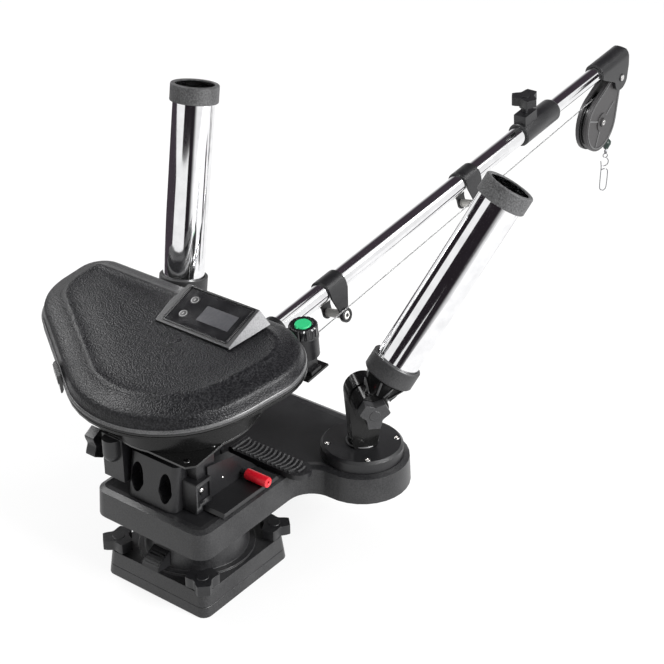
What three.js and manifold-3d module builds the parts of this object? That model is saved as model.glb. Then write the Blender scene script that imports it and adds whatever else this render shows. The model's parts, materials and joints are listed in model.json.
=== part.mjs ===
// Electric downrigger on a swivel deck base with two rod holders, a covered reel and a telescoping boom.
// Millimetres, +Z up, +X along the boom, origin at the middle of the deck plate's underside.
import * as THREE from 'three';
import { mergeVertices } from 'three/addons/utils/BufferGeometryUtils.js';
import Module from 'manifold-3d';

const wasm = await Module();
wasm.setup();

const RIGHT_ANGLE = Math.PI / 2;
const FULL_TURN = 2 * Math.PI;
const DEGREE = Math.PI / 180;

// General fits
const SEAT = 0.3;
const RUNNING_FIT = 0.4;
const OVERRUN = 2;
const WELD = 0.001;
const FLATNESS = 0.02;
const EDGE_BREAK = 1;

// Deck plate and swivel base
const DECK_SIDE = 152.4;
const DECK_THICKNESS = 13.3;
const BASE_THICKNESS = 18.8;
const BASE_DRAFT_SHARE = 0.1;
const BASE_CORNER = 11;
const DRUM_RADIUS = 61;
const DRUM_WALL = 9;
const DRUM_FLANGE = 7.3;
const DRUM_FLANGE_THICKNESS = 2.6;
const DRUM_TOP = 84.5;
const BOLT_RADIUS = 6;
const BOLT_BOSS_RADIUS = 14;
const BOLT_BOSS_TOP = 60;
const BOLT_HEAD_RADIUS = 11;
const BOLT_HEAD_HEIGHT = 9;
const BOLT_DEPTH = 22;

// Three-lobed clamping knobs
const KNOB_RADIUS = 19.5;
const KNOB_WAIST_SHARE = 0.36;
const KNOB_LOBES = 3;
const KNOB_BEVEL = 1.6;
const KNOB_STUD_RADIUS = 4;
const KNOB_HUB_RADIUS = 8;
const DECK_KNOB_HEIGHT = 13;
const DECK_KNOB_REACH = 64;
const DECK_STUD_HEIGHT = 3.5;
const DECK_STUD_DEPTH = 14;

// Thumb latch of the swivel
const LATCH_WIDTH = 24;
const LATCH_PROJECTION = 20;
const LATCH_TOP = 58;
const LATCH_LIP_TOP = 46;
const LATCH_BOTTOM = 39;
const LATCH_TAIL = 4.6;
const LATCH_RIBS = 5;
const LATCH_RIB_HEIGHT = 1.1;
const LATCH_WINDOW_CLEARANCE = 0.4;

// Rod holder plate
const PLATE_BOTTOM = 85.8;
const PLATE_CREASE = 118.3;
const PLATE_TOP = 121.3;
const PLATE_HALF = 82.9;
const PLATE_CORNER = 18;
const PLATE_DRAFT = 1.9;
const PLATE_BAND = 6.5;
const LOBE_X = 160.3;
const LOBE_Y = 120.6;
const LOBE_RADIUS = 58.2;
const NECK_FILLET = 32;
const SPIGOT_DEPTH = 24;
const SPIGOT_WALL = 8;
const BOLT_POCKET_RADIUS = 16;
const BOLT_WEB = 9;

// Slide bracket, release lever and lock pin
const SLIDE_THICKNESS = 5.6;
const SLIDE_X0 = -42;
const SLIDE_X1 = 57;
const SLIDE_Y0 = -79;
const SLIDE_Y1 = 62;
const SLIDE_BEVEL = 3;
const LEVER_X = 79;
const LEVER_WIDTH = 31;
const LEVER_ROOT_Y = -2;
const LEVER_TIP_Y = -105;
const LEVER_THICKNESS = 6.5;
const LEVER_RIBS = 14;
const LEVER_RIB_WIDTH = 2.4;
const LEVER_RIB_HEIGHT = 1.5;
const LEVER_RIB_CURVE = 26;
const LEVER_RIB_FIRST_Y = -14;
const LEVER_BARREL_RADIUS = 4.5;
const PIN_X = 29;
const PIN_Z = 134;
const PIN_GRIP_RADIUS = 5.3;
const PIN_GRIP_LENGTH = 30;
const PIN_SHANK_RADIUS = 3.4;
const PIN_SHANK_LENGTH = 34;
const PIN_EXPOSED = 6;

// Main frame and front sockets
const FRAME_X0 = -53;
const FRAME_X1 = 58;
const FRAME_HALF = 50;
const FRAME_OVERHANG = 15;
const FRAME_CORE_X0 = -44;
const FRAME_POST_X1 = -14;
const FRAME_CORE_Y0 = 5;
const FRAME_FLOOR = 5;
const COLUMN_X1 = -27;
const COLUMN_TOP = 160;
const CHEEK_INSET = 3;
const CHEEK_WALL = 12;
const CHEEK_FRONT_Z = 171;
const CHEEK_CREST_X = 19;
const CHEEK_CREST_Z = 161.5;
const CHEEK_BACK_X = 53;
const SOCKET_X0 = -69;
const SOCKET_LEAN = 8;
const SOCKET_SET_IN = 20;
const SOCKET_SIDE_GAP = 8.6;
const SOCKET_Y0 = SOCKET_SET_IN - FRAME_HALF;
const SOCKET_Y1 = FRAME_HALF - SOCKET_SIDE_GAP;
const SOCKET_TOP = 177;
const SOCKET_BORE = 9.6;
const SOCKET_BORE_Z = 144;
const SOCKET_BORE_PITCH_SHARE = 0.58;
const SOCKET_BORE_DEPTH = 19;
const SIDE_BOX_X0 = -70;
const SIDE_BOX_X1 = -12;
const SIDE_BOX_REACH = 22;
const SIDE_BOX_Y1 = FRAME_HALF + SIDE_BOX_REACH;
const SIDE_BOX_BOTTOM = 136;
const CUP_RADIUS = 11;
const CUP_SET_OUT = 7;
const CUP_BOTTOM = 160;
const PANEL_RECESS = 2.2;
const BUTTON_POCKET = 20;
const BUTTON_STOP_RADIUS = 4;
const BRAKE_X = -50;
const BRAKE_Z = 160;
const BRAKE_HEIGHT = 14;
const BRAKE_STUD = 19;
const BRAKE_DEPTH = 12;

// Reel head, tilted with the boom
const HEAD_TILT = 6.9 * DEGREE;
const HEAD_Z = 204;
const REEL_X = 18;
const REEL_Y = 24;
const SHEET = 3;
const PAN_RADIUS = 91.7;
const PAN_WALL = 3;
const PAN_FLOOR = 2.5;
const TRAY_FLOOR = 44;
const TRAY_TOP = 50;
const TRAY_RIM_DEPTH = 3.5;
const RIM_OFFSET = 6;
const GASKET_THICKNESS = 2.7;
const GASKET_WIDTH = 6;
const MOTOR_RADIUS = 31;
const MOTOR_WELL_DEPTH = 56;
const MOTOR_TOP = 51;
const WELL_GAP = 3;
const MOTOR_SPACING = 5;
const MOTOR_BEARING = 70.7 * DEGREE;
const MOTOR_DISTANCE = PAN_RADIUS + PAN_WALL + WELL_GAP + MOTOR_RADIUS + MOTOR_SPACING;
const MOTOR_X = REEL_X + MOTOR_DISTANCE * Math.cos(MOTOR_BEARING);
const MOTOR_Y = REEL_Y + MOTOR_DISTANCE * Math.sin(MOTOR_BEARING);
const SHEET_FRONT_X = -71;
const SHEET_FRONT_Y = 61;
const SHEET_CHAMFER = 9;
const SHEET_TONGUE_Y0 = -72;
const SHEET_TONGUE_Y1 = 26;

// Cover: a hull of four corner circles, measured at its upper crease. Each is [x, y, radius] over the pan's
// own circle, or over the motor's
const COVER_REEL_CORNERS = [[1, 1, 31.3], [32, -62, -23.7]];
const COVER_MOTOR_CORNERS = [[24, 58, 2], [-4, 18, 43]];
const COVER_CORNERS = [
  ...COVER_REEL_CORNERS.map(([x, y, r]) => [REEL_X + x, REEL_Y + y, PAN_RADIUS + r]),
  ...COVER_MOTOR_CORNERS.map(([x, y, r]) => [MOTOR_X + x, MOTOR_Y + y, MOTOR_RADIUS + r]),
];
const COVER_STEP = 9 * DEGREE;
const COVER_WALL = 3;
const COVER_LIP = 4;
const COVER_WAIST = 2;
const COVER_CREASE = 70;
const COVER_SHOULDER = 25;
const COVER_SHOULDER_RISE = 11;
const COVER_TOP = 84;

// Display
const DISPLAY_NEAR_X = 38;
const DISPLAY_FAR_X = 97.5;
const DISPLAY_Y0 = -35;
const DISPLAY_Y1 = 68;
const DISPLAY_RISE = 15;
const DISPLAY_EDGE = 3;
const DISPLAY_FLARE = 12;
const SCREEN_MARGIN = 6;
const SCREEN_THICKNESS = 1.4;
const SCREEN_SINK = 0.7;
const BUTTON_RADIUS = 6;
const BUTTON_PROUD = 0.5;
const BUTTON_INSET_SHARE = 0.18;
const BUTTON_DOWN_SHARES = [0.28, 0.71];

// Spool, shaft and belt drive
const SPOOL_BOTTOM = 4;
const SPOOL_WIDTH = 26;
const SPOOL_ROOM = 7.7;
const SPOOL_FLANGE_RADIUS = PAN_RADIUS - PAN_WALL - SPOOL_ROOM;
const SPOOL_FLANGE = 2.6;
const SPOOL_HUB_SHARE = 0.543;
const SPOOL_HUB_RADIUS = SPOOL_FLANGE_RADIUS * SPOOL_HUB_SHARE;
const SHAFT_RADIUS = 9;
const SHAFT_FLANGE_RADIUS = 16;
const SHAFT_NUT_RADIUS = 14;
const SHAFT_NUT_HEIGHT = 6;
const WOUND_FILL_SHARE = 0.54;
const WOUND_RADIUS = SPOOL_HUB_RADIUS + (SPOOL_FLANGE_RADIUS - SPOOL_HUB_RADIUS) * WOUND_FILL_SHARE;
const SHEAVE_BOTTOM = 54.3;
const SHEAVE_WIDTH = 9;
const SHEAVE_FLANGE = 1.2;
const SHEAVE_LIP = 2;
const SPOOL_SHEAVE_RADIUS = SPOOL_FLANGE_RADIUS - EDGE_BREAK;
const MOTOR_SHEAVE_RADIUS = 15;
const SHEAVE_HOLES = 5;
const SHEAVE_HOLE_RADIUS = 17;
const SHEAVE_HUB_RADIUS = 26;
const BELT_THICKNESS = 1.6;

// Cover clip
const CLIP_Y = 124;
const CLIP_LENGTH = 30;
const CLIP_THICKNESS = 4;
const CLIP_TOP = 62;
const CLIP_BOTTOM = 38;
const CLIP_RIBS = 4;

// Boom
const BOOM_AXIS = 24.5;
const LOWER_TUBE_RADIUS = 12.7;
const UPPER_TUBE_RADIUS = 11.1;
const TUBE_WALL = 1.2;
const LOWER_TUBE_X1 = 776;
const UPPER_TUBE_X0 = 300;
const SLEEVE_GAP = 4.3;
const SLEEVE_LENGTH = 44;
const SLEEVE_STOP = 3;
const SLEEVE_WALL = 4.6;
const SOCKET_SLEEVE_X0 = REEL_X + PAN_RADIUS + SLEEVE_GAP;
const SOCKET_SLEEVE_X1 = SOCKET_SLEEVE_X0 + SLEEVE_LENGTH;
const LOWER_TUBE_X0 = SOCKET_SLEEVE_X0 + SLEEVE_STOP;
const SHEET_TONGUE_X = SOCKET_SLEEVE_X1 + SHEET;
const SOCKET_FOOT_HALF = 23;
const SOCKET_FOOT_THICKNESS = 4;
const GUIDE_X = [261, 562];
const GUIDE_WIDTH = 32;
const GUIDE_WALL = 2.4;
const GUIDE_ROLL = 12 * DEGREE;
const GUIDE_DROP = 37;
const GUIDE_EYE_RADIUS = 8;
const GUIDE_PIN_RADIUS = 5.4;
const GUIDE_EYE_WIDTH_SHARE = 0.5;
const COLLAR_OVERHANG = 10;
const COLLAR_LENGTH = 88;
const COLLAR_X1 = LOWER_TUBE_X1 + COLLAR_OVERHANG;
const COLLAR_X0 = COLLAR_X1 - COLLAR_LENGTH;
const COLLAR_WALL = 3.6;
const COLLAR_BLOCK_LENGTH = 30;
const COLLAR_BLOCK_WIDTH = 19;
const COLLAR_BLOCK_TOP = 28;
const COLLAR_KNOB_GAP = 8;
const COLLAR_KNOB_HEIGHT = 17;
const BOOM_HEAD_X1 = 986;
const BOOM_HEAD_LENGTH = 77;
const BOOM_HEAD_X0 = BOOM_HEAD_X1 - BOOM_HEAD_LENGTH;
const BOOM_HEAD_WALL = 4;
const BOOM_HEAD_NOSE = 12;
const PIVOT_SET_BACK = 22;
const PIVOT_X = BOOM_HEAD_X1 - PIVOT_SET_BACK;
const PIVOT_DROP = 25.3;
const PIVOT_RADIUS = 4;
const CHEEK_RADIUS = 19;

// Pulley
const AXLE_BEHIND_PIVOT = 46.9;
const AXLE_X = PIVOT_X - AXLE_BEHIND_PIVOT;
const AXLE_Z = -54.5;
const PULLEY_RADIUS = 45;
const PULLEY_NECK_RADIUS = 13;
const PULLEY_PLATE = 5.2;
const PULLEY_GAP = 8.6;
const WHEEL_RADIUS = 42;
const WHEEL_WIDTH = 7.4;
const GROOVE_RADIUS = 38.7;
const AXLE_RADIUS = 4;
const AXLE_HEAD_RADIUS = 7;
const AXLE_HEAD_HEIGHT = 2;
const PULLEY_BOSS_RADIUS = 14;
const PULLEY_BOSS_HEIGHT = 1.4;

// Cable and what hangs on it
const CABLE_RADIUS = 0.75;
const CABLE_SIDES = 8;
const CABLE_DROP = 42;
const CABLE_HEIGHT = 16;
const BEAD_RADIUS = 7;
const BEAD_LENGTH = 16;
const SWIVEL_RADIUS = 3.2;
const SWIVEL_LENGTH = 11;
const SNAP_WIRE = 0.9;
const SNAP_RING_RADIUS = 4.5;
const SNAP_LENGTH = 52;
const SNAP_HALF_WIDTH = 6.5;

// Rotary switch
const SWITCH_FROM_TONGUE = 21;
const SWITCH_X = SHEET_TONGUE_X - SWITCH_FROM_TONGUE;
const SWITCH_Y = -57;
const SWITCH_BOTTOM = 22;
const SWITCH_TOP = 50;
const SWITCH_RADIUS = 16.6;
const SWITCH_BEZEL = 17.4;
const SWITCH_BEZEL_HEIGHT = 5;
const SWITCH_KNOB_RADIUS = 17;
const SWITCH_KNOB_HEIGHT = 13;
const SWITCH_FLUTES = 16;
const SWITCH_FLUTE = 0.9;
const CAP_RADIUS = 11.4;
const CAP_THICKNESS = 4;
const CAP_PROUD = 0.8;
const CAP_POINTER = 2.6;
const SWITCH_LEG_WIDTH = 18;
const SWITCH_LEG_THICKNESS = 5;
const SWITCH_LEG_SETBACK = 4;
const SWITCH_ARM_WIDTH = 13;

// Rod holders
const HOLDER_FLANGE_RADIUS = 48.8;
const HOLDER_FLANGE_TOP = 136.2;
const HOLDER_CHAMFER = 3;
const HOLDER_SPIGOT_RADIUS = 14;
const HOLDER_SPIGOT_DEPTH = 8;
const HOLDER_SCREWS = 4;
const HOLDER_SCREW_RADIUS = 4.2;
const HOLDER_SCREW_CIRCLE = 41;
const HOLDER_SCREW_SINK = 1.6;
const POST_RING_RADIUS = 18;
const POST_RING_HEIGHT = 8;
const HINGE_HEIGHT = 68.5;
const HINGE_RADIUS = 21;
const POST_BACK = 9;
const POST_FACE = 18.5;
const POST_FOOT_RADIUS = 15;
const HINGE_TEETH = 18;
const HINGE_TOOTH = 1.4;
const CRADLE_RADIUS = 19.5;
const CRADLE_FACE = 45;
const CRADLE_OFFSET = 32;
const CRADLE_NECK_RADIUS = 17;
const COLLAR_START = 38;
const COLLAR_END = 62;
const COLLAR_FLOOR = 4;
const HOLDER_TUBE_RADIUS = 25.4;
const HOLDER_TUBE_WALL = 1.5;
const HOLDER_TUBE_END = 296;
const HOLDER_COLLAR_WALL = 3.6;
const TOP_RING_START = 277;
const TOP_RING_END = 298;
const HOLDER_KNOB_HEIGHT = 13;
const HOLDER_KNOB_RADIUS = 18;
// Each holder: side of the plate, yaw and lean as photographed, and the side its cradle is on
const HOLDERS = [
  { name: 'right', side: -1, yaw: -40 * DEGREE, lean: 31 * DEGREE, hand: -1 },
  { name: 'left', side: 1, yaw: 10 * DEGREE, lean: 11 * DEGREE, hand: 1 },
];

const CABLE_REACH = GROOVE_RADIUS + CABLE_RADIUS + SEAT;
const BASE_BOTTOM = DECK_THICKNESS + SEAT;
const BASE_TOP = BASE_BOTTOM + BASE_THICKNESS;
const SLIDE_TOP = PLATE_TOP + SEAT + SLIDE_THICKNESS;
const FRAME_BOTTOM = SLIDE_TOP + SEAT;

// Finishes
const finish = (color, roughness, metalness) => new THREE.MeshStandardMaterial({ color, roughness, metalness });
const blackPlastic = () => finish(0x1b1b1d, 0.55, 0);
const greyPlastic = () => finish(0x3a3a3c, 0.6, 0);
const texturedPlastic = () => finish(0x202022, 0.7, 0);
const glossPlastic = () => finish(0x0e0e10, 0.25, 0);
const chrome = () => finish(0xd8dadc, 0.08, 1);
const steel = () => finish(0xa9abad, 0.35, 1);
const rubber = () => finish(0x151515, 0.85, 0);
const redPlastic = () => finish(0xc4161f, 0.4, 0);
const greenPlastic = () => finish(0x2fbf6b, 0.4, 0);
const nylon = () => finish(0xe9e6dd, 0.5, 0);

// Solids and booleans
function solidOf(geometry) {
  const bare = geometry.clone();
  bare.deleteAttribute('normal');
  bare.deleteAttribute('uv');
  const merged = mergeVertices(bare, WELD);
  const points = Float32Array.from(merged.attributes.position.array);
  const corners = Array.from(merged.index.array);
  const triangles = [];
  let volume = 0;
  for (let i = 0; i < corners.length; i += 3) {
    const [a, b, c] = corners.slice(i, i + 3);
    if (a === b || b === c || a === c) continue;
    triangles.push(a, b, c);
    const [p, q, r] = [a, b, c].map((k) => new THREE.Vector3().fromArray(points, 3 * k));
    volume += p.dot(q.cross(r));
  }
  const triVerts = Uint32Array.from(volume < 0 ? triangles.reverse() : triangles);
  return new wasm.Manifold(new wasm.Mesh({ numProp: 3, vertProperties: points, triVerts }));
}

function geometryOf(solid) {
  const mesh = solid.simplify(FLATNESS).getMesh();
  const geometry = new THREE.BufferGeometry();
  geometry.setAttribute('position', new THREE.BufferAttribute(mesh.vertProperties, mesh.numProp));
  geometry.setIndex(new THREE.BufferAttribute(mesh.triVerts, 1));
  geometry.computeVertexNormals();
  return geometry;
}

const join = (first, ...rest) => geometryOf(rest.reduce((sum, g) => sum.add(solidOf(g)), solidOf(first)));
const cut = (body, ...tools) => geometryOf(tools.reduce((left, g) => left.subtract(solidOf(g)), solidOf(body)));
const common = (one, other) => geometryOf(solidOf(one).intersect(solidOf(other)));

function block(x0, x1, y0, y1, z0, z1) {
  const box = new THREE.BoxGeometry(x1 - x0, y1 - y0, z1 - z0);
  return box.translate((x0 + x1) / 2, (y0 + y1) / 2, (z0 + z1) / 2);
}

function disc(radius, z0, z1, segments = 36, topRadius = radius) {
  const cylinder = new THREE.CylinderGeometry(topRadius, radius, z1 - z0, segments);
  return cylinder.rotateX(RIGHT_ANGLE).translate(0, 0, (z0 + z1) / 2);
}

// Cylinder along X or Y between two places
const rodX = (radius, x0, x1, segments = 28) => disc(radius, x0, x1, segments).rotateY(RIGHT_ANGLE);
const rodY = (radius, y0, y1, segments = 28) => disc(radius, -y1, -y0, segments).rotateX(RIGHT_ANGLE);

// Revolve a closed [radius, height] outline about Z
function turned(outline, segments = 36) {
  const points = [...outline, outline[0]].map(([r, z]) => new THREE.Vector2(r, z));
  return new THREE.LatheGeometry(points, segments).rotateX(RIGHT_ANGLE);
}

const shapeOf = (outline) => new THREE.Shape(outline.map(([x, y]) => new THREE.Vector2(x, y)));

function slab(outline, z0, z1) {
  const geometry = new THREE.ExtrudeGeometry(shapeOf(outline), { depth: z1 - z0, bevelEnabled: false });
  return geometry.translate(0, 0, z0);
}

// Outline in the XZ plane, extruded along Y between two places
const profiled = (outline, y0, y1) => slab(outline, -y1, -y0).rotateX(RIGHT_ANGLE);

// Outline in the YZ plane, extruded along X between two places
const sectioned = (outline, x0, x1) => slab(outline, x0, x1).rotateX(RIGHT_ANGLE).rotateZ(RIGHT_ANGLE);

function arc(x, y, radius, start, end, steps) {
  const points = [];
  for (let i = 0; i <= steps; i += 1) {
    const angle = start + ((end - start) * i) / steps;
    points.push([x + radius * Math.cos(angle), y + radius * Math.sin(angle)]);
  }
  return points;
}

// Outline wrapped round circles given in counter-clockwise order, grown by an offset
function hullOutline(circles, offset = 0, step = COVER_STEP) {
  const leaving = circles.map(([x, y, r], i) => {
    const [nextX, nextY, nextR] = circles[(i + 1) % circles.length];
    const apart = Math.hypot(nextX - x, nextY - y);
    return Math.atan2(nextY - y, nextX - x) - Math.acos((r - nextR) / apart);
  });
  return circles.flatMap(([x, y, r], i) => {
    const start = leaving[(i + circles.length - 1) % circles.length];
    const turn = (((leaving[i] - start) % FULL_TURN) + FULL_TURN) % FULL_TURN;
    return arc(x, y, r + offset, start, start + turn, Math.ceil(turn / step));
  });
}

function rectangle(halfX, halfY, radius) {
  const x = halfX - radius;
  const y = halfY - radius;
  return hullOutline([[-x, -y, radius], [x, -y, radius], [x, y, radius], [-x, y, radius]], 0, 18 * DEGREE);
}

// Skin level rings of equal counts, [outline, height], into one capped solid
function loft(levels) {
  const positions = levels.flatMap(([outline, z]) => outline.flatMap(([x, y]) => [x, y, z]));
  const count = levels[0][0].length;
  const index = [];
  for (let level = 0; level + 1 < levels.length; level += 1) {
    for (let i = 0; i < count; i += 1) {
      const a = level * count + i;
      const b = level * count + ((i + 1) % count);
      index.push(a, b, b + count, a, b + count, a + count);
    }
  }
  const last = (levels.length - 1) * count;
  const capOf = ([outline]) => THREE.ShapeUtils.triangulateShape(shapeOf(outline).getPoints(), []);
  capOf(levels[0]).forEach(([a, b, c]) => index.push(a, c, b));
  capOf(levels[levels.length - 1]).forEach(([a, b, c]) => index.push(last + a, last + b, last + c));
  const geometry = new THREE.BufferGeometry();
  geometry.setAttribute('position', new THREE.Float32BufferAttribute(positions, 3));
  geometry.setIndex(index);
  return geometry;
}

// Round wire along a smooth path
function wire(points, radius, steps, sides = CABLE_SIDES, closed = false) {
  const path = new THREE.CatmullRomCurve3(points, closed, 'centripetal');
  const section = new THREE.Shape(
    arc(0, 0, radius, 0, FULL_TURN * (1 - 1 / sides), sides - 1).map(([x, y]) => new THREE.Vector2(x, y)),
  );
  return new THREE.ExtrudeGeometry(section, { steps, extrudePath: path, bevelEnabled: false });
}

const ring = (outer, inner, z0, z1, segments) => turned([[inner, z0], [outer, z0], [outer, z1], [inner, z1]], segments);

// Assembly
const downrigger = new THREE.Group();
const head = new THREE.Group();
head.position.set(0, 0, HEAD_Z);
head.rotation.y = -HEAD_TILT;
downrigger.add(head);

function add(parent, name, geometry, material) {
  const mesh = new THREE.Mesh(geometryOf(solidOf(geometry)), material);
  mesh.name = name;
  parent.add(mesh);
  return mesh;
}

// Height of the reel head's sloping underside over a place on X
const headUnderside = (x) => HEAD_Z + x * Math.tan(HEAD_TILT) - (SHEET + 2 * SEAT) / Math.cos(HEAD_TILT);

// Three-lobed knob standing on the XY plane, with its stud below
function knob(radius, height, studAbove, studDepth) {
  const outline = [];
  const steps = 8 * KNOB_LOBES;
  for (let i = 0; i < steps; i += 1) {
    const angle = (FULL_TURN * i) / steps;
    const dip = (KNOB_WAIST_SHARE * (1 - Math.cos(KNOB_LOBES * angle))) / 2;
    outline.push([radius * (1 - dip) * Math.cos(angle), radius * (1 - dip) * Math.sin(angle)]);
  }
  const shrink = (points, share) => points.map(([x, y]) => [x * share, y * share]);
  const crownShare = 1 - KNOB_BEVEL / radius;
  const body = loft([
    [shrink(outline, crownShare), 0],
    [outline, KNOB_BEVEL],
    [outline, height - KNOB_BEVEL],
    [shrink(outline, crownShare), height],
  ]);
  const hub = disc(KNOB_HUB_RADIUS, -studAbove, height / 2, 14);
  const stud = disc(KNOB_STUD_RADIUS, -studAbove - studDepth, height / 2, 10);
  return studAbove > 0 ? join(body, hub, stud) : join(body, stud);
}

function buildBase() {
  const drafted = (half, z0, thickness) => loft([
    [rectangle(half, half, BASE_CORNER), z0],
    [rectangle(half - BASE_DRAFT_SHARE * thickness, half - BASE_DRAFT_SHARE * thickness, BASE_CORNER), z0 + thickness],
  ]);
  const studHole = (sx, sy, depth) => disc(KNOB_STUD_RADIUS + SEAT, BASE_TOP - depth, BASE_TOP + OVERRUN, 12)
    .translate(sx * DECK_KNOB_REACH, sy * DECK_KNOB_REACH, 0);
  const quarters = [[-1, -1], [1, -1], [1, 1], [-1, 1]];
  add(downrigger, 'deck_plate', drafted(DECK_SIDE / 2, 0, DECK_THICKNESS), greyPlastic());

  const upperHalf = DECK_SIDE / 2 - BASE_DRAFT_SHARE * DECK_THICKNESS;
  const inner = DRUM_RADIUS - DRUM_WALL;
  const flangeTop = BASE_TOP + DRUM_FLANGE_THICKNESS;
  const drum = turned([
    [0, BASE_TOP - OVERRUN], [DRUM_RADIUS + DRUM_FLANGE, BASE_TOP - OVERRUN],
    [DRUM_RADIUS + DRUM_FLANGE, flangeTop], [DRUM_RADIUS, flangeTop],
    [DRUM_RADIUS, DRUM_TOP], [inner, DRUM_TOP], [inner, flangeTop],
    [BOLT_BOSS_RADIUS, flangeTop], [BOLT_BOSS_RADIUS, BOLT_BOSS_TOP], [0, BOLT_BOSS_TOP],
  ]);
  const windowHalf = LATCH_WIDTH / 2 + LATCH_WINDOW_CLEARANCE;
  const latchWindow = block(-DRUM_RADIUS - DRUM_FLANGE - OVERRUN, -inner + OVERRUN, -windowHalf, windowHalf,
    LATCH_BOTTOM - LATCH_WINDOW_CLEARANCE, LATCH_TOP + LATCH_WINDOW_CLEARANCE);
  const boltHole = disc(BOLT_RADIUS + SEAT, BOLT_BOSS_TOP - BOLT_DEPTH - SEAT, BOLT_BOSS_TOP + OVERRUN, 24);
  const swivelBase = cut(
    join(drafted(upperHalf, BASE_BOTTOM, BASE_THICKNESS), drum),
    latchWindow, boltHole, ...quarters.map(([sx, sy]) => studHole(sx, sy, DECK_STUD_DEPTH + SEAT)),
  );
  add(downrigger, 'swivel_base', swivelBase, greyPlastic());

  quarters.forEach(([sx, sy], i) => {
    const piece = add(downrigger, `deck_knob_${i + 1}`,
      knob(KNOB_RADIUS, DECK_KNOB_HEIGHT, DECK_STUD_HEIGHT, DECK_STUD_DEPTH), blackPlastic());
    piece.position.set(sx * DECK_KNOB_REACH, sy * DECK_KNOB_REACH, BASE_TOP + SEAT + DECK_STUD_HEIGHT);
    piece.rotation.z = Math.atan2(sy, sx);
  });

  const web = PLATE_BOTTOM + BOLT_WEB;
  const bolt = join(
    disc(BOLT_RADIUS, BOLT_BOSS_TOP - BOLT_DEPTH, web + BOLT_HEAD_HEIGHT, 24),
    disc(BOLT_HEAD_RADIUS, web + SEAT, web + SEAT + BOLT_HEAD_HEIGHT, 6),
  );
  add(downrigger, 'swivel_bolt', bolt, steel());
}

function buildLatch() {
  const wall = -DRUM_RADIUS;
  const tail = wall + LATCH_TAIL;
  const lip = wall - LATCH_PROJECTION;
  const body = profiled([[tail, LATCH_BOTTOM], [tail, LATCH_TOP], [wall, LATCH_TOP], [lip, LATCH_LIP_TOP],
    [lip, LATCH_BOTTOM + OVERRUN], [wall - DRUM_FLANGE - SEAT, LATCH_BOTTOM]], -LATCH_WIDTH / 2, LATCH_WIDTH / 2);
  const slope = Math.atan2(LATCH_TOP - LATCH_LIP_TOP, LATCH_PROJECTION);
  const pitch = LATCH_PROJECTION / (LATCH_RIBS + 1);
  const ribs = [];
  for (let i = 1; i <= LATCH_RIBS; i += 1) {
    const along = i * pitch;
    const rib = block(-pitch / 4, pitch / 4, -LATCH_WIDTH / 2 + OVERRUN, LATCH_WIDTH / 2 - OVERRUN,
      -LATCH_RIB_HEIGHT, LATCH_RIB_HEIGHT);
    ribs.push(rib.rotateY(-slope).translate(lip + along, 0, LATCH_LIP_TOP + along * Math.tan(slope)));
  }
  add(downrigger, 'swivel_latch', join(body, ...ribs), blackPlastic());
}

// Outline of the rod holder plate: a square body, necked into two round lobes joined by a straight edge
function plateOutline(inset) {
  const half = PLATE_HALF - inset;
  const corner = PLATE_CORNER - inset;
  const lobe = LOBE_RADIUS - inset;
  const fillet = NECK_FILLET + inset;
  const filletY = half + fillet;
  const filletX = LOBE_X - Math.sqrt((lobe + fillet) ** 2 - (LOBE_Y - filletY) ** 2);
  const meet = Math.atan2(LOBE_Y - filletY, LOBE_X - filletX);
  const right = [
    ...arc(-half + corner, -half + corner, corner, Math.PI, 1.5 * Math.PI, 6),
    ...arc(filletX, -filletY, fillet, RIGHT_ANGLE, -meet, 8),
    ...arc(LOBE_X, -LOBE_Y, lobe, Math.PI - meet, FULL_TURN, 16).slice(1),
  ];
  const left = right.map(([x, y]) => [x, -y]).reverse();
  return [...right, ...left];
}

function buildRodHolderPlate() {
  const body = loft([
    [plateOutline(0), PLATE_BOTTOM], [plateOutline(PLATE_DRAFT), PLATE_CREASE],
    [plateOutline(PLATE_DRAFT + PLATE_BAND), PLATE_TOP],
  ]);
  const spigotOuter = DRUM_RADIUS - DRUM_WALL - RUNNING_FIT;
  const spigot = ring(spigotOuter, spigotOuter - SPIGOT_WALL, PLATE_BOTTOM - SPIGOT_DEPTH, PLATE_BOTTOM + OVERRUN);
  const hole = disc(BOLT_RADIUS + SEAT, PLATE_BOTTOM - OVERRUN, PLATE_TOP, 24);
  const pocket = disc(BOLT_POCKET_RADIUS, PLATE_BOTTOM + BOLT_WEB, PLATE_TOP + OVERRUN, 32);
  add(downrigger, 'rod_holder_plate', cut(join(body, spigot), hole, pocket), greyPlastic());
}

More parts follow.
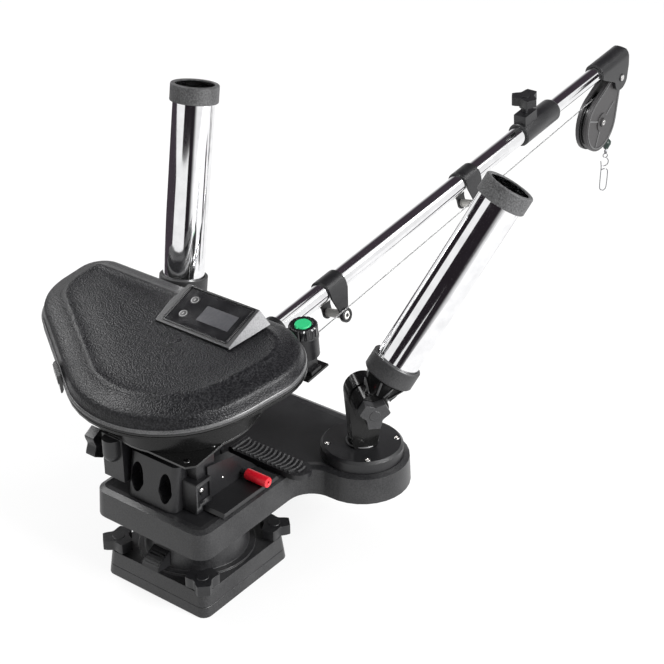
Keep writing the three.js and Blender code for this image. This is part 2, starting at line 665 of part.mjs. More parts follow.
function buildSlide() {
  const bottom = PLATE_TOP + SEAT;
  const dovetail = profiled([[SLIDE_X0, bottom], [SLIDE_X1, bottom], [SLIDE_X1 - SLIDE_BEVEL, SLIDE_TOP],
    [SLIDE_X0 + SLIDE_BEVEL, SLIDE_TOP]], SLIDE_Y0, SLIDE_Y1);
  add(downrigger, 'slide_bracket', dovetail, blackPlastic());

  const tipRadius = LEVER_WIDTH / 2;
  const tongueTop = bottom + LEVER_THICKNESS;
  const tongue = slab(hullOutline([[LEVER_X - tipRadius + OVERRUN, LEVER_ROOT_Y, OVERRUN],
    [LEVER_X, LEVER_TIP_Y + tipRadius, tipRadius], [LEVER_X + tipRadius - OVERRUN, LEVER_ROOT_Y, OVERRUN]], 0,
  18 * DEGREE), bottom, tongueTop);
  const pitch = (LEVER_RIB_FIRST_Y - LEVER_TIP_Y - LEVER_RIB_WIDTH) / LEVER_RIBS;
  const sweep = Math.asin((tipRadius - OVERRUN) / LEVER_RIB_CURVE);
  const ribs = [];
  for (let i = 0; i < LEVER_RIBS; i += 1) {
    const centreY = LEVER_RIB_FIRST_Y - i * pitch + LEVER_RIB_CURVE;
    const reach = i === LEVER_RIBS - 1 ? sweep / 2 : sweep;
    const outer = arc(LEVER_X, centreY, LEVER_RIB_CURVE, -RIGHT_ANGLE - reach, -RIGHT_ANGLE + reach, 4);
    const inner = arc(LEVER_X, centreY, LEVER_RIB_CURVE - LEVER_RIB_WIDTH, -RIGHT_ANGLE + reach, -RIGHT_ANGLE - reach, 4);
    ribs.push(slab([...outer, ...inner], tongueTop - LEVER_RIB_HEIGHT, tongueTop + LEVER_RIB_HEIGHT));
  }
  const barrel = rodX(LEVER_BARREL_RADIUS, LEVER_X - tipRadius, LEVER_X + tipRadius, 20)
    .translate(0, LEVER_ROOT_Y, bottom + LEVER_BARREL_RADIUS);
  add(downrigger, 'release_lever', join(tongue, barrel, ...ribs), blackPlastic());

  const wallY = -FRAME_HALF;
  const pin = join(
    rodY(PIN_GRIP_RADIUS, wallY - PIN_EXPOSED - PIN_GRIP_LENGTH, wallY - PIN_EXPOSED, 24),
    rodY(PIN_SHANK_RADIUS, wallY - PIN_EXPOSED - OVERRUN, wallY - PIN_EXPOSED + PIN_SHANK_LENGTH, 16),
  );
  add(downrigger, 'lock_pin', pin.translate(PIN_X, 0, PIN_Z), redPlastic());
}

function buildFrame() {
  const backTop = FRAME_X1 + FRAME_OVERHANG;
  const wallY = -FRAME_HALF + CHEEK_INSET;
  const core = profiled([[FRAME_CORE_X0, FRAME_BOTTOM], [FRAME_X1, FRAME_BOTTOM],
    [backTop, headUnderside(backTop)], [FRAME_CORE_X0, headUnderside(FRAME_CORE_X0)]], FRAME_CORE_Y0, FRAME_HALF);
  const post = profiled([[FRAME_CORE_X0, FRAME_BOTTOM], [FRAME_POST_X1, FRAME_BOTTOM],
    [FRAME_POST_X1, headUnderside(FRAME_POST_X1)], [FRAME_CORE_X0, headUnderside(FRAME_CORE_X0)]],
    wallY + CHEEK_INSET, FRAME_HALF);
  const column = profiled([[FRAME_X0, PLATE_TOP + SEAT], [SLIDE_X0 - SEAT, PLATE_TOP + SEAT],
    [SLIDE_X0 - SEAT, FRAME_BOTTOM], [COLUMN_X1, FRAME_BOTTOM], [COLUMN_X1, COLUMN_TOP - EDGE_BREAK],
    [COLUMN_X1 - EDGE_BREAK, COLUMN_TOP], [FRAME_X0 + EDGE_BREAK, COLUMN_TOP], [FRAME_X0, COLUMN_TOP - EDGE_BREAK]],
    -FRAME_HALF, SOCKET_Y0 - SEAT);
  const cheek = profiled([[COLUMN_X1 - OVERRUN, FRAME_BOTTOM], [CHEEK_BACK_X, FRAME_BOTTOM],
    [CHEEK_BACK_X, FRAME_BOTTOM + OVERRUN], [CHEEK_CREST_X, CHEEK_CREST_Z], [COLUMN_X1 - OVERRUN, CHEEK_FRONT_Z]],
    wallY, wallY + CHEEK_WALL);
  const floor = block(FRAME_CORE_X0, CHEEK_BACK_X - OVERRUN, wallY + OVERRUN, FRAME_HALF - OVERRUN,
    FRAME_BOTTOM, FRAME_BOTTOM + FRAME_FLOOR);
  const box = profiled([[SIDE_BOX_X0, SIDE_BOX_BOTTOM], [SIDE_BOX_X1, SIDE_BOX_BOTTOM],
    [SIDE_BOX_X1, headUnderside(SIDE_BOX_X1)], [SIDE_BOX_X0, headUnderside(SIDE_BOX_X0)]],
    SOCKET_Y1 + SEAT, SIDE_BOX_Y1);
  const cupTop = headUnderside(SIDE_BOX_X0 - CUP_RADIUS);
  const cup = join(
    disc(CUP_RADIUS, CUP_BOTTOM + CUP_RADIUS, cupTop, 24),
    new THREE.SphereGeometry(CUP_RADIUS, 24, 12).rotateX(RIGHT_ANGLE).translate(0, 0, CUP_BOTTOM + CUP_RADIUS),
  ).translate(SIDE_BOX_X0, FRAME_HALF + CUP_SET_OUT, 0);
  const pinHole = rodY(PIN_SHANK_RADIUS + SEAT, -FRAME_HALF - OVERRUN,
    -FRAME_HALF - PIN_EXPOSED + PIN_SHANK_LENGTH + SEAT, 16).translate(PIN_X, 0, PIN_Z);
  const brakeHole = rodY(KNOB_STUD_RADIUS + SEAT, SIDE_BOX_Y1 - BRAKE_DEPTH - SEAT, SIDE_BOX_Y1 + OVERRUN, 16)
    .translate(BRAKE_X, 0, BRAKE_Z);
  const pocketX = (FRAME_X0 + COLUMN_X1) / 2;
  const pocketZ = COLUMN_TOP - OVERRUN - BUTTON_POCKET / 2 - (COLUMN_X1 - FRAME_X0 - BUTTON_POCKET) / 2;
  const pocket = block(pocketX - BUTTON_POCKET / 2, pocketX + BUTTON_POCKET / 2, -FRAME_HALF - OVERRUN,
    -FRAME_HALF + PANEL_RECESS, pocketZ - BUTTON_POCKET / 2, pocketZ + BUTTON_POCKET / 2);
  const stop = rodY(BUTTON_STOP_RADIUS, -FRAME_HALF, -FRAME_HALF + PANEL_RECESS + OVERRUN, 16)
    .translate(pocketX, 0, pocketZ);
  const body = cut(join(core, post, column, cheek, floor, box, cup), pinHole, brakeHole, pocket);
  const blockTop = Math.min(SOCKET_TOP, headUnderside(SOCKET_X0));
  const front = profiled([[SOCKET_X0, PLATE_TOP + SEAT], [SLIDE_X0 - SEAT, PLATE_TOP + SEAT],
    [SLIDE_X0 - SEAT, FRAME_BOTTOM], [FRAME_CORE_X0 + OVERRUN, FRAME_BOTTOM],
    [FRAME_CORE_X0 + OVERRUN, blockTop], [SOCKET_X0 + SOCKET_LEAN, blockTop]], SOCKET_Y0, SOCKET_Y1);
  const middleY = (SOCKET_Y0 + SOCKET_Y1) / 2;
  const borePitch = (SOCKET_Y1 - SOCKET_Y0) * SOCKET_BORE_PITCH_SHARE;
  const bores = [-1, 1].map((s) => rodX(SOCKET_BORE, SOCKET_X0 - OVERRUN, SOCKET_X0 + SOCKET_BORE_DEPTH, 28)
    .translate(0, middleY + (s * borePitch) / 2, SOCKET_BORE_Z));
  add(downrigger, 'main_frame', join(body, stop, cut(front, ...bores)), blackPlastic());

  const brake = add(downrigger, 'brake_knob',
    knob(KNOB_RADIUS, BRAKE_HEIGHT, BRAKE_STUD, BRAKE_DEPTH).rotateX(-RIGHT_ANGLE), blackPlastic());
  brake.position.set(BRAKE_X, SIDE_BOX_Y1 + SEAT + BRAKE_STUD, BRAKE_Z);
}

const coverOutline = (offset) => hullOutline(COVER_CORNERS, offset);
const atReel = (geometry) => geometry.translate(REEL_X, REEL_Y, 0);
const atMotor = (geometry) => geometry.translate(MOTOR_X, MOTOR_Y, 0);

function cablePoint(x) {
  const start = new THREE.Vector3(REEL_X, REEL_Y - WOUND_RADIUS - CABLE_RADIUS - SEAT, CABLE_HEIGHT);
  const end = new THREE.Vector3(AXLE_X, 0, AXLE_Z + CABLE_REACH);
  return start.lerp(end, (x - start.x) / (end.x - start.x));
}

function buildHeadShell() {
  const disk = atReel(disc(PAN_RADIUS, -SHEET - SEAT, -SEAT, 48));
  const front = slab([[SHEET_FRONT_X, SHEET_FRONT_Y], [SHEET_FRONT_X, SHEET_CHAMFER - SHEET_FRONT_Y],
    [SHEET_FRONT_X + SHEET_CHAMFER, -SHEET_FRONT_Y], [REEL_X, -SHEET_FRONT_Y], [REEL_X, SHEET_FRONT_Y]],
    -SHEET - SEAT, -SEAT);
  const tongue = block(REEL_X, SHEET_TONGUE_X, -SOCKET_FOOT_HALF, SHEET_TONGUE_Y1, -SHEET - SEAT, -SEAT);
  const outrigger = block(SWITCH_X - SWITCH_LEG_WIDTH, SHEET_TONGUE_X, SHEET_TONGUE_Y0, -SOCKET_FOOT_HALF + OVERRUN,
    -SHEET - SEAT, -SEAT);
  const shaftTop = SHEAVE_BOTTOM + SHEAVE_WIDTH + SEAT + SHAFT_NUT_HEIGHT;
  const shaft = atReel(join(disc(SHAFT_FLANGE_RADIUS, -SHEET, SPOOL_BOTTOM - SEAT, 32),
    disc(SHAFT_RADIUS, -SHEET, shaftTop, 32), disc(SHAFT_NUT_RADIUS, shaftTop - SHAFT_NUT_HEIGHT, shaftTop, 6)));
  add(head, 'frame_plate', join(disk, front, tongue, outrigger, shaft), steel());

  const pan = atReel(turned([
    [SHAFT_FLANGE_RADIUS + RUNNING_FIT, 0], [PAN_RADIUS, 0], [PAN_RADIUS, TRAY_FLOOR + OVERRUN],
    [PAN_RADIUS - PAN_WALL, TRAY_FLOOR + OVERRUN], [PAN_RADIUS - PAN_WALL, PAN_FLOOR],
    [SHAFT_FLANGE_RADIUS + RUNNING_FIT, PAN_FLOOR],
  ], 48));
  const wellRadius = MOTOR_RADIUS + WELL_GAP;
  const wellBottom = MOTOR_TOP - MOTOR_WELL_DEPTH;
  const well = atMotor(turned([
    [0, wellBottom], [wellRadius + PAN_WALL, wellBottom], [wellRadius + PAN_WALL, TRAY_FLOOR + OVERRUN],
    [wellRadius, TRAY_FLOOR + OVERRUN], [wellRadius, wellBottom + PAN_FLOOR], [0, wellBottom + PAN_FLOOR],
  ], 28));
  const dish = cut(
    loft([[coverOutline(0), TRAY_FLOOR], [coverOutline(RIM_OFFSET), TRAY_TOP - TRAY_RIM_DEPTH],
      [coverOutline(RIM_OFFSET), TRAY_TOP]]),
    slab(coverOutline(-GASKET_WIDTH), TRAY_FLOOR + PAN_FLOOR, TRAY_TOP + OVERRUN),
    atReel(disc(PAN_RADIUS - PAN_WALL, 0, TRAY_TOP, 48)),
    atMotor(disc(wellRadius, 0, TRAY_TOP, 28)),
  );
  const exit = cablePoint(REEL_X + PAN_RADIUS);
  const slot = block(REEL_X + PAN_RADIUS / 2, REEL_X + PAN_RADIUS + OVERRUN, exit.y - SPOOL_WIDTH / 4,
    exit.y + SPOOL_WIDTH / 4, exit.z - SPOOL_WIDTH / 4, exit.z + SPOOL_WIDTH / 4);
  add(head, 'reel_tray', cut(join(pan, well, dish), slot), blackPlastic());

  const gasket = cut(
    slab(coverOutline(RIM_OFFSET - SEAT), TRAY_TOP + SEAT, TRAY_TOP + SEAT + GASKET_THICKNESS),
    slab(coverOutline(RIM_OFFSET - SEAT - GASKET_WIDTH), TRAY_TOP, TRAY_TOP + GASKET_THICKNESS + OVERRUN),
  );
  add(head, 'cover_gasket', gasket, rubber());

  const lip = TRAY_TOP + 2 * SEAT + GASKET_THICKNESS;
  const crest = COVER_CREASE + COVER_SHOULDER_RISE;
  const outer = loft([
    [coverOutline(RIM_OFFSET), lip], [coverOutline(RIM_OFFSET), lip + COVER_LIP],
    [coverOutline(RIM_OFFSET - COVER_WAIST), lip + COVER_LIP + SHEET / 2],
    [coverOutline(EDGE_BREAK), COVER_CREASE - COVER_WAIST], [coverOutline(-COVER_WAIST), COVER_CREASE + EDGE_BREAK],
    [coverOutline(-COVER_SHOULDER), crest], [coverOutline(-COVER_SHOULDER - COVER_WAIST), COVER_TOP - EDGE_BREAK],
    [coverOutline(-COVER_SHOULDER - 2 * COVER_WAIST), COVER_TOP],
  ]);
  const inner = loft([
    [coverOutline(RIM_OFFSET - COVER_WALL - COVER_WAIST), lip - OVERRUN],
    [coverOutline(RIM_OFFSET - COVER_WALL - COVER_WAIST), lip + COVER_LIP],
    [coverOutline(-COVER_WALL), COVER_CREASE - COVER_WALL],
    [coverOutline(-COVER_SHOULDER - COVER_WAIST), crest - COVER_WALL],
    [coverOutline(-COVER_SHOULDER - COVER_WALL), COVER_TOP - COVER_WALL],
  ]);
  add(head, 'reel_cover', cut(outer, inner), texturedPlastic());
}

function buildDisplay() {
  const base = COVER_TOP + SEAT;
  const near = base + DISPLAY_EDGE;
  const run = DISPLAY_FAR_X - DISPLAY_NEAR_X;
  const slope = Math.atan2(DISPLAY_RISE, run);
  const foot = [[DISPLAY_NEAR_X - DISPLAY_EDGE, DISPLAY_Y0 - DISPLAY_EDGE], [DISPLAY_FAR_X, DISPLAY_Y0 - DISPLAY_FLARE],
    [DISPLAY_FAR_X, DISPLAY_Y1 + DISPLAY_FLARE], [DISPLAY_NEAR_X - DISPLAY_EDGE, DISPLAY_Y1 + DISPLAY_EDGE]];
  const top = [[DISPLAY_NEAR_X, DISPLAY_Y0], [DISPLAY_FAR_X - DISPLAY_EDGE, DISPLAY_Y0],
    [DISPLAY_FAR_X - DISPLAY_EDGE, DISPLAY_Y1], [DISPLAY_NEAR_X, DISPLAY_Y1]];
  const wedge = loft([[foot, base], [top, near + DISPLAY_RISE]]);
  const floor = base - 2 * DISPLAY_RISE;
  const topFace = profiled([[DISPLAY_NEAR_X - run, floor], [DISPLAY_FAR_X + run, floor],
    [DISPLAY_FAR_X + run, near + 2 * DISPLAY_RISE], [DISPLAY_NEAR_X - run, near - DISPLAY_RISE]],
    DISPLAY_Y0 - run, DISPLAY_Y1 + run);
  const panelGroup = new THREE.Group();
  panelGroup.position.set(DISPLAY_NEAR_X, 0, near);
  panelGroup.rotation.y = -slope;
  head.add(panelGroup);
  const depth = run / Math.cos(slope);
  const recess = block(SCREEN_MARGIN / 2, depth - SCREEN_MARGIN, DISPLAY_Y0 + SCREEN_MARGIN, DISPLAY_Y1 - SCREEN_MARGIN,
    -SCREEN_THICKNESS - SCREEN_SINK - SEAT, OVERRUN).rotateY(-slope).translate(DISPLAY_NEAR_X, 0, near);
  add(head, 'display_bezel', cut(common(wedge, topFace), recess), blackPlastic());

  const x0 = SCREEN_MARGIN / 2 + SEAT;
  const x1 = depth - SCREEN_MARGIN - SEAT;
  const y0 = DISPLAY_Y0 + SCREEN_MARGIN + SEAT;
  const y1 = DISPLAY_Y1 - SCREEN_MARGIN - SEAT;
  const buttonY = y1 - BUTTON_INSET_SHARE * (y1 - y0);
  const buttonX = (share) => x1 - share * (x1 - x0);
  const holes = BUTTON_DOWN_SHARES.map((share) => disc(BUTTON_RADIUS + SEAT, -SCREEN_SINK - SCREEN_THICKNESS - OVERRUN,
    OVERRUN, 24).translate(buttonX(share), buttonY, 0));
  const screen = cut(block(x0, x1, y0, y1, -SCREEN_SINK - SCREEN_THICKNESS, -SCREEN_SINK), ...holes);
  add(panelGroup, 'display_screen', screen, glossPlastic());
  BUTTON_DOWN_SHARES.forEach((share, i) => {
    const button = turned([[0, -SCREEN_SINK - SCREEN_THICKNESS + BUTTON_PROUD], [BUTTON_RADIUS, -SCREEN_SINK - SCREEN_THICKNESS + BUTTON_PROUD],
      [BUTTON_RADIUS, -SCREEN_SINK], [BUTTON_RADIUS - BUTTON_PROUD, -SCREEN_SINK + BUTTON_PROUD], [0, -SCREEN_SINK + BUTTON_PROUD]], 24);
    add(panelGroup, i === 0 ? 'button_up' : 'button_down', button, greyPlastic())
      .position.set(buttonX(share), buttonY, 0);
  });
}

// Flanged belt sheave on a bore
function sheave(radius, bore, segments) {
  const top = SHEAVE_BOTTOM + SHEAVE_WIDTH;
  return turned([[bore, SHEAVE_BOTTOM], [radius + SHEAVE_LIP, SHEAVE_BOTTOM], [radius + SHEAVE_LIP, SHEAVE_BOTTOM + SHEAVE_FLANGE],
    [radius, SHEAVE_BOTTOM + SHEAVE_FLANGE], [radius, top - SHEAVE_FLANGE], [radius + SHEAVE_LIP, top - SHEAVE_FLANGE],
    [radius + SHEAVE_LIP, top], [bore, top]], segments);
}

function buildDrive() {
  const spoolTop = SPOOL_BOTTOM + SPOOL_WIDTH;
  const bore = SHAFT_RADIUS + RUNNING_FIT;
  const spool = atReel(turned([
    [bore, SPOOL_BOTTOM], [SPOOL_FLANGE_RADIUS, SPOOL_BOTTOM], [SPOOL_FLANGE_RADIUS, SPOOL_BOTTOM + SPOOL_FLANGE],
    [SPOOL_HUB_RADIUS, SPOOL_BOTTOM + SPOOL_FLANGE], [SPOOL_HUB_RADIUS, spoolTop - SPOOL_FLANGE],
    [SPOOL_FLANGE_RADIUS, spoolTop - SPOOL_FLANGE], [SPOOL_FLANGE_RADIUS, spoolTop],
    [SHEAVE_HUB_RADIUS, spoolTop], [SHEAVE_HUB_RADIUS, SHEAVE_BOTTOM - SEAT], [bore, SHEAVE_BOTTOM - SEAT],
  ]));
  add(head, 'cable_spool', spool, blackPlastic());
  const low = SPOOL_BOTTOM + SPOOL_FLANGE + SEAT;
  const high = spoolTop - SPOOL_FLANGE - SEAT;
  add(head, 'wound_cable', atReel(turned([[SPOOL_HUB_RADIUS + SEAT, low], [WOUND_RADIUS - EDGE_BREAK, low],
    [WOUND_RADIUS, (low + high) / 2], [WOUND_RADIUS - EDGE_BREAK, high], [SPOOL_HUB_RADIUS + SEAT, high]])), steel());

  const sheaveTop = SHEAVE_BOTTOM + SHEAVE_WIDTH;
  const holeCircle = (SHEAVE_HUB_RADIUS + SPOOL_SHEAVE_RADIUS) / 2;
  const holes = [];
  for (let i = 0; i < SHEAVE_HOLES; i += 1) {
    holes.push(disc(SHEAVE_HOLE_RADIUS, SHEAVE_BOTTOM - OVERRUN, sheaveTop + OVERRUN, 20).translate(holeCircle, 0, 0)
      .rotateZ((FULL_TURN * i) / SHEAVE_HOLES));
  }
  add(head, 'spool_sheave', atReel(cut(sheave(SPOOL_SHEAVE_RADIUS, bore, 48), ...holes)), nylon());



  const wellFloor = MOTOR_TOP - MOTOR_WELL_DEPTH + PAN_FLOOR + SEAT;
  const motorShaft = AXLE_RADIUS;
  const motor = atMotor(join(disc(MOTOR_RADIUS, wellFloor, MOTOR_TOP - KNOB_BEVEL, 28),
    disc(MOTOR_RADIUS - WELL_GAP, wellFloor, MOTOR_TOP, 28), disc(motorShaft, wellFloor, sheaveTop + OVERRUN, 12)));
  add(head, 'drive_motor', motor, steel());
  add(head, 'motor_sheave', atMotor(sheave(MOTOR_SHEAVE_RADIUS, motorShaft + RUNNING_FIT, 24)), steel());

  const runs = [[REEL_X, REEL_Y, SPOOL_SHEAVE_RADIUS], [MOTOR_X, MOTOR_Y, MOTOR_SHEAVE_RADIUS]];
  const beltBottom = SHEAVE_BOTTOM + SHEAVE_FLANGE + SEAT;
  const beltTop = sheaveTop - SHEAVE_FLANGE - SEAT;
  const belt = cut(slab(hullOutline(runs, SEAT + BELT_THICKNESS), beltBottom, beltTop),
    slab(hullOutline(runs, RUNNING_FIT), beltBottom - OVERRUN, beltTop + OVERRUN));
  add(head, 'drive_belt', belt, rubber());
}

function buildCoverClip() {
  const [[x1, y1, r1]] = COVER_CORNERS;
  const [x4, y4, r4] = COVER_CORNERS[3];
  const apart = Math.hypot(x1 - x4, y1 - y4);
  const normal = Math.atan2(y1 - y4, x1 - x4) - Math.acos((r4 - r1) / apart);
  const edgeX = x1 + (r1 * Math.cos(normal)) - (CLIP_Y - y1 - r1 * Math.sin(normal)) * Math.tan(normal);
  const group = new THREE.Group();
  group.position.set(edgeX, CLIP_Y, 0);
  group.rotation.z = normal;
  head.add(group);
  const inner = RIM_OFFSET + SEAT;
  const outer = inner + CLIP_THICKNESS;
  const plate = profiled([[inner, CLIP_BOTTOM + CLIP_THICKNESS], [inner + CLIP_THICKNESS / 2, CLIP_BOTTOM],
    [outer, CLIP_BOTTOM], [outer, CLIP_TOP - CLIP_THICKNESS / 2], [outer - CLIP_THICKNESS / 2, CLIP_TOP],
    [inner, CLIP_TOP]], -CLIP_LENGTH / 2, CLIP_LENGTH / 2);
  const ribs = [];
  const pitch = (CLIP_TOP - CLIP_BOTTOM) / (2 * CLIP_RIBS);
  for (let i = 1; i <= CLIP_RIBS; i += 1) {
    ribs.push(block(outer - EDGE_BREAK, outer + EDGE_BREAK, -CLIP_LENGTH / 2 + OVERRUN, CLIP_LENGTH / 2 - OVERRUN,
      CLIP_TOP - i * pitch - pitch / 4, CLIP_TOP - i * pitch + pitch / 4));
  }
  add(group, 'cover_clip', join(plate, ...ribs), glossPlastic());
}

function tube(radius, wall, x0, x1, segments = 40) {
  return cut(rodX(radius, x0, x1, segments), rodX(radius - wall, x0 - OVERRUN, x1 + OVERRUN, segments));
}

const onBoom = (geometry) => geometry.translate(0, 0, BOOM_AXIS);

function buildBoom() {
  const bore = LOWER_TUBE_RADIUS + SEAT;
  const sleeve = bore + SLEEVE_WALL;
  const web = block(SOCKET_SLEEVE_X0, SOCKET_SLEEVE_X1, -sleeve / 1.2, sleeve / 1.2, -BOOM_AXIS, 0);
  const foot = block(SOCKET_SLEEVE_X0, SOCKET_SLEEVE_X1, -SOCKET_FOOT_HALF, SOCKET_FOOT_HALF,
    -BOOM_AXIS, -BOOM_AXIS + SOCKET_FOOT_THICKNESS);
  const socket = cut(join(rodX(sleeve, SOCKET_SLEEVE_X0, SOCKET_SLEEVE_X1), web, foot),
    rodX(bore, SOCKET_SLEEVE_X0 + SLEEVE_WALL / 2, SOCKET_SLEEVE_X1 + OVERRUN));
  add(head, 'boom_socket', onBoom(socket), blackPlastic());
  add(head, 'lower_boom_tube', onBoom(tube(LOWER_TUBE_RADIUS, TUBE_WALL, LOWER_TUBE_X0, LOWER_TUBE_X1)), chrome());
  const upperEnd = BOOM_HEAD_X1 - BOOM_HEAD_NOSE - SEAT;
  add(head, 'upper_boom_tube', onBoom(tube(UPPER_TUBE_RADIUS, TUBE_WALL, UPPER_TUBE_X0, upperEnd)), chrome());

  GUIDE_X.forEach((x, i) => {
    const outer = bore + GUIDE_WALL;
    const saddle = (radius) => [...arc(0, 0, radius, 0, Math.PI, 16), [-radius, -GUIDE_DROP], [radius, -GUIDE_DROP]];
    const eyeHalf = (GUIDE_WIDTH * GUIDE_EYE_WIDTH_SHARE) / 2;
    const body = cut(sectioned(saddle(outer), -GUIDE_WIDTH / 2, GUIDE_WIDTH / 2),
      sectioned(saddle(bore).map(([a, b]) => [a, b === -GUIDE_DROP ? b - GUIDE_EYE_RADIUS * 2 : b]),
        -GUIDE_WIDTH, GUIDE_WIDTH));
    const legShape = profiled([[-GUIDE_WIDTH / 2, bore], [GUIDE_WIDTH / 2, bore], [GUIDE_WIDTH / 2, -bore / 2],
      [eyeHalf, -GUIDE_DROP + GUIDE_EYE_RADIUS], [eyeHalf, -GUIDE_DROP], [-eyeHalf, -GUIDE_DROP],
      [-eyeHalf, -GUIDE_DROP + GUIDE_EYE_RADIUS], [-GUIDE_WIDTH / 2, -bore / 2]], -outer, outer);
    const dome = rodX(outer, -GUIDE_WIDTH / 2, GUIDE_WIDTH / 2);
    const eyes = [-1, 1].map((s) => rodY(GUIDE_EYE_RADIUS, s > 0 ? bore : -outer, s > 0 ? outer : -bore, 24)
      .translate(0, 0, -GUIDE_DROP));
    const trimmed = common(body, join(legShape, dome));
    const pinHole = rodY(GUIDE_PIN_RADIUS + SEAT, -outer - OVERRUN, outer + OVERRUN, 20).translate(0, 0, -GUIDE_DROP);
    const clip = add(head, `cable_guide_${i + 1}`, cut(join(trimmed, ...eyes), pinHole), blackPlastic());
    const bush = rodY(GUIDE_PIN_RADIUS, -outer - GUIDE_WALL / 2, outer, 20).translate(0, 0, -GUIDE_DROP);
    const bushing = add(head, `guide_bush_${i + 1}`, bush, nylon());
    [clip, bushing].forEach((piece) => {
      piece.position.set(x, 0, BOOM_AXIS);
      piece.rotation.x = -GUIDE_ROLL;
    });
  });

  const collarOuter = bore + COLLAR_WALL;
  const cuff = turned([[bore, COLLAR_X0], [collarOuter - EDGE_BREAK, COLLAR_X0], [collarOuter, COLLAR_X0 + EDGE_BREAK],
    [collarOuter, COLLAR_X1 - COLLAR_WALL], [collarOuter - COLLAR_WALL / 2, COLLAR_X1],
    [UPPER_TUBE_RADIUS + RUNNING_FIT, COLLAR_X1], [UPPER_TUBE_RADIUS + RUNNING_FIT, LOWER_TUBE_X1 + SEAT],
    [bore, LOWER_TUBE_X1 + SEAT]], 32).rotateY(RIGHT_ANGLE);
  const blockX = COLLAR_X0 + COLLAR_WALL;
  const knobX = blockX + COLLAR_BLOCK_LENGTH / 2;
  const tower = cut(
    block(blockX, blockX + COLLAR_BLOCK_LENGTH, -COLLAR_BLOCK_WIDTH / 2, COLLAR_BLOCK_WIDTH / 2, 0, COLLAR_BLOCK_TOP),
    rodX(bore + COLLAR_WALL / 2, blockX - OVERRUN, blockX + COLLAR_BLOCK_LENGTH + OVERRUN, 32),
  );
  const threadHole = disc(KNOB_STUD_RADIUS + SEAT, bore + OVERRUN, COLLAR_BLOCK_TOP + OVERRUN, 16).translate(knobX, 0, 0);
  add(head, 'boom_collar', onBoom(cut(join(cuff, tower), threadHole)), blackPlastic());
  const knobBase = COLLAR_BLOCK_TOP + COLLAR_KNOB_GAP;
  add(head, 'collar_knob', knob(KNOB_RADIUS, COLLAR_KNOB_HEIGHT, 0, knobBase - bore - OVERRUN - SEAT), blackPlastic())
    .position.set(knobX, 0, BOOM_AXIS + knobBase);
}

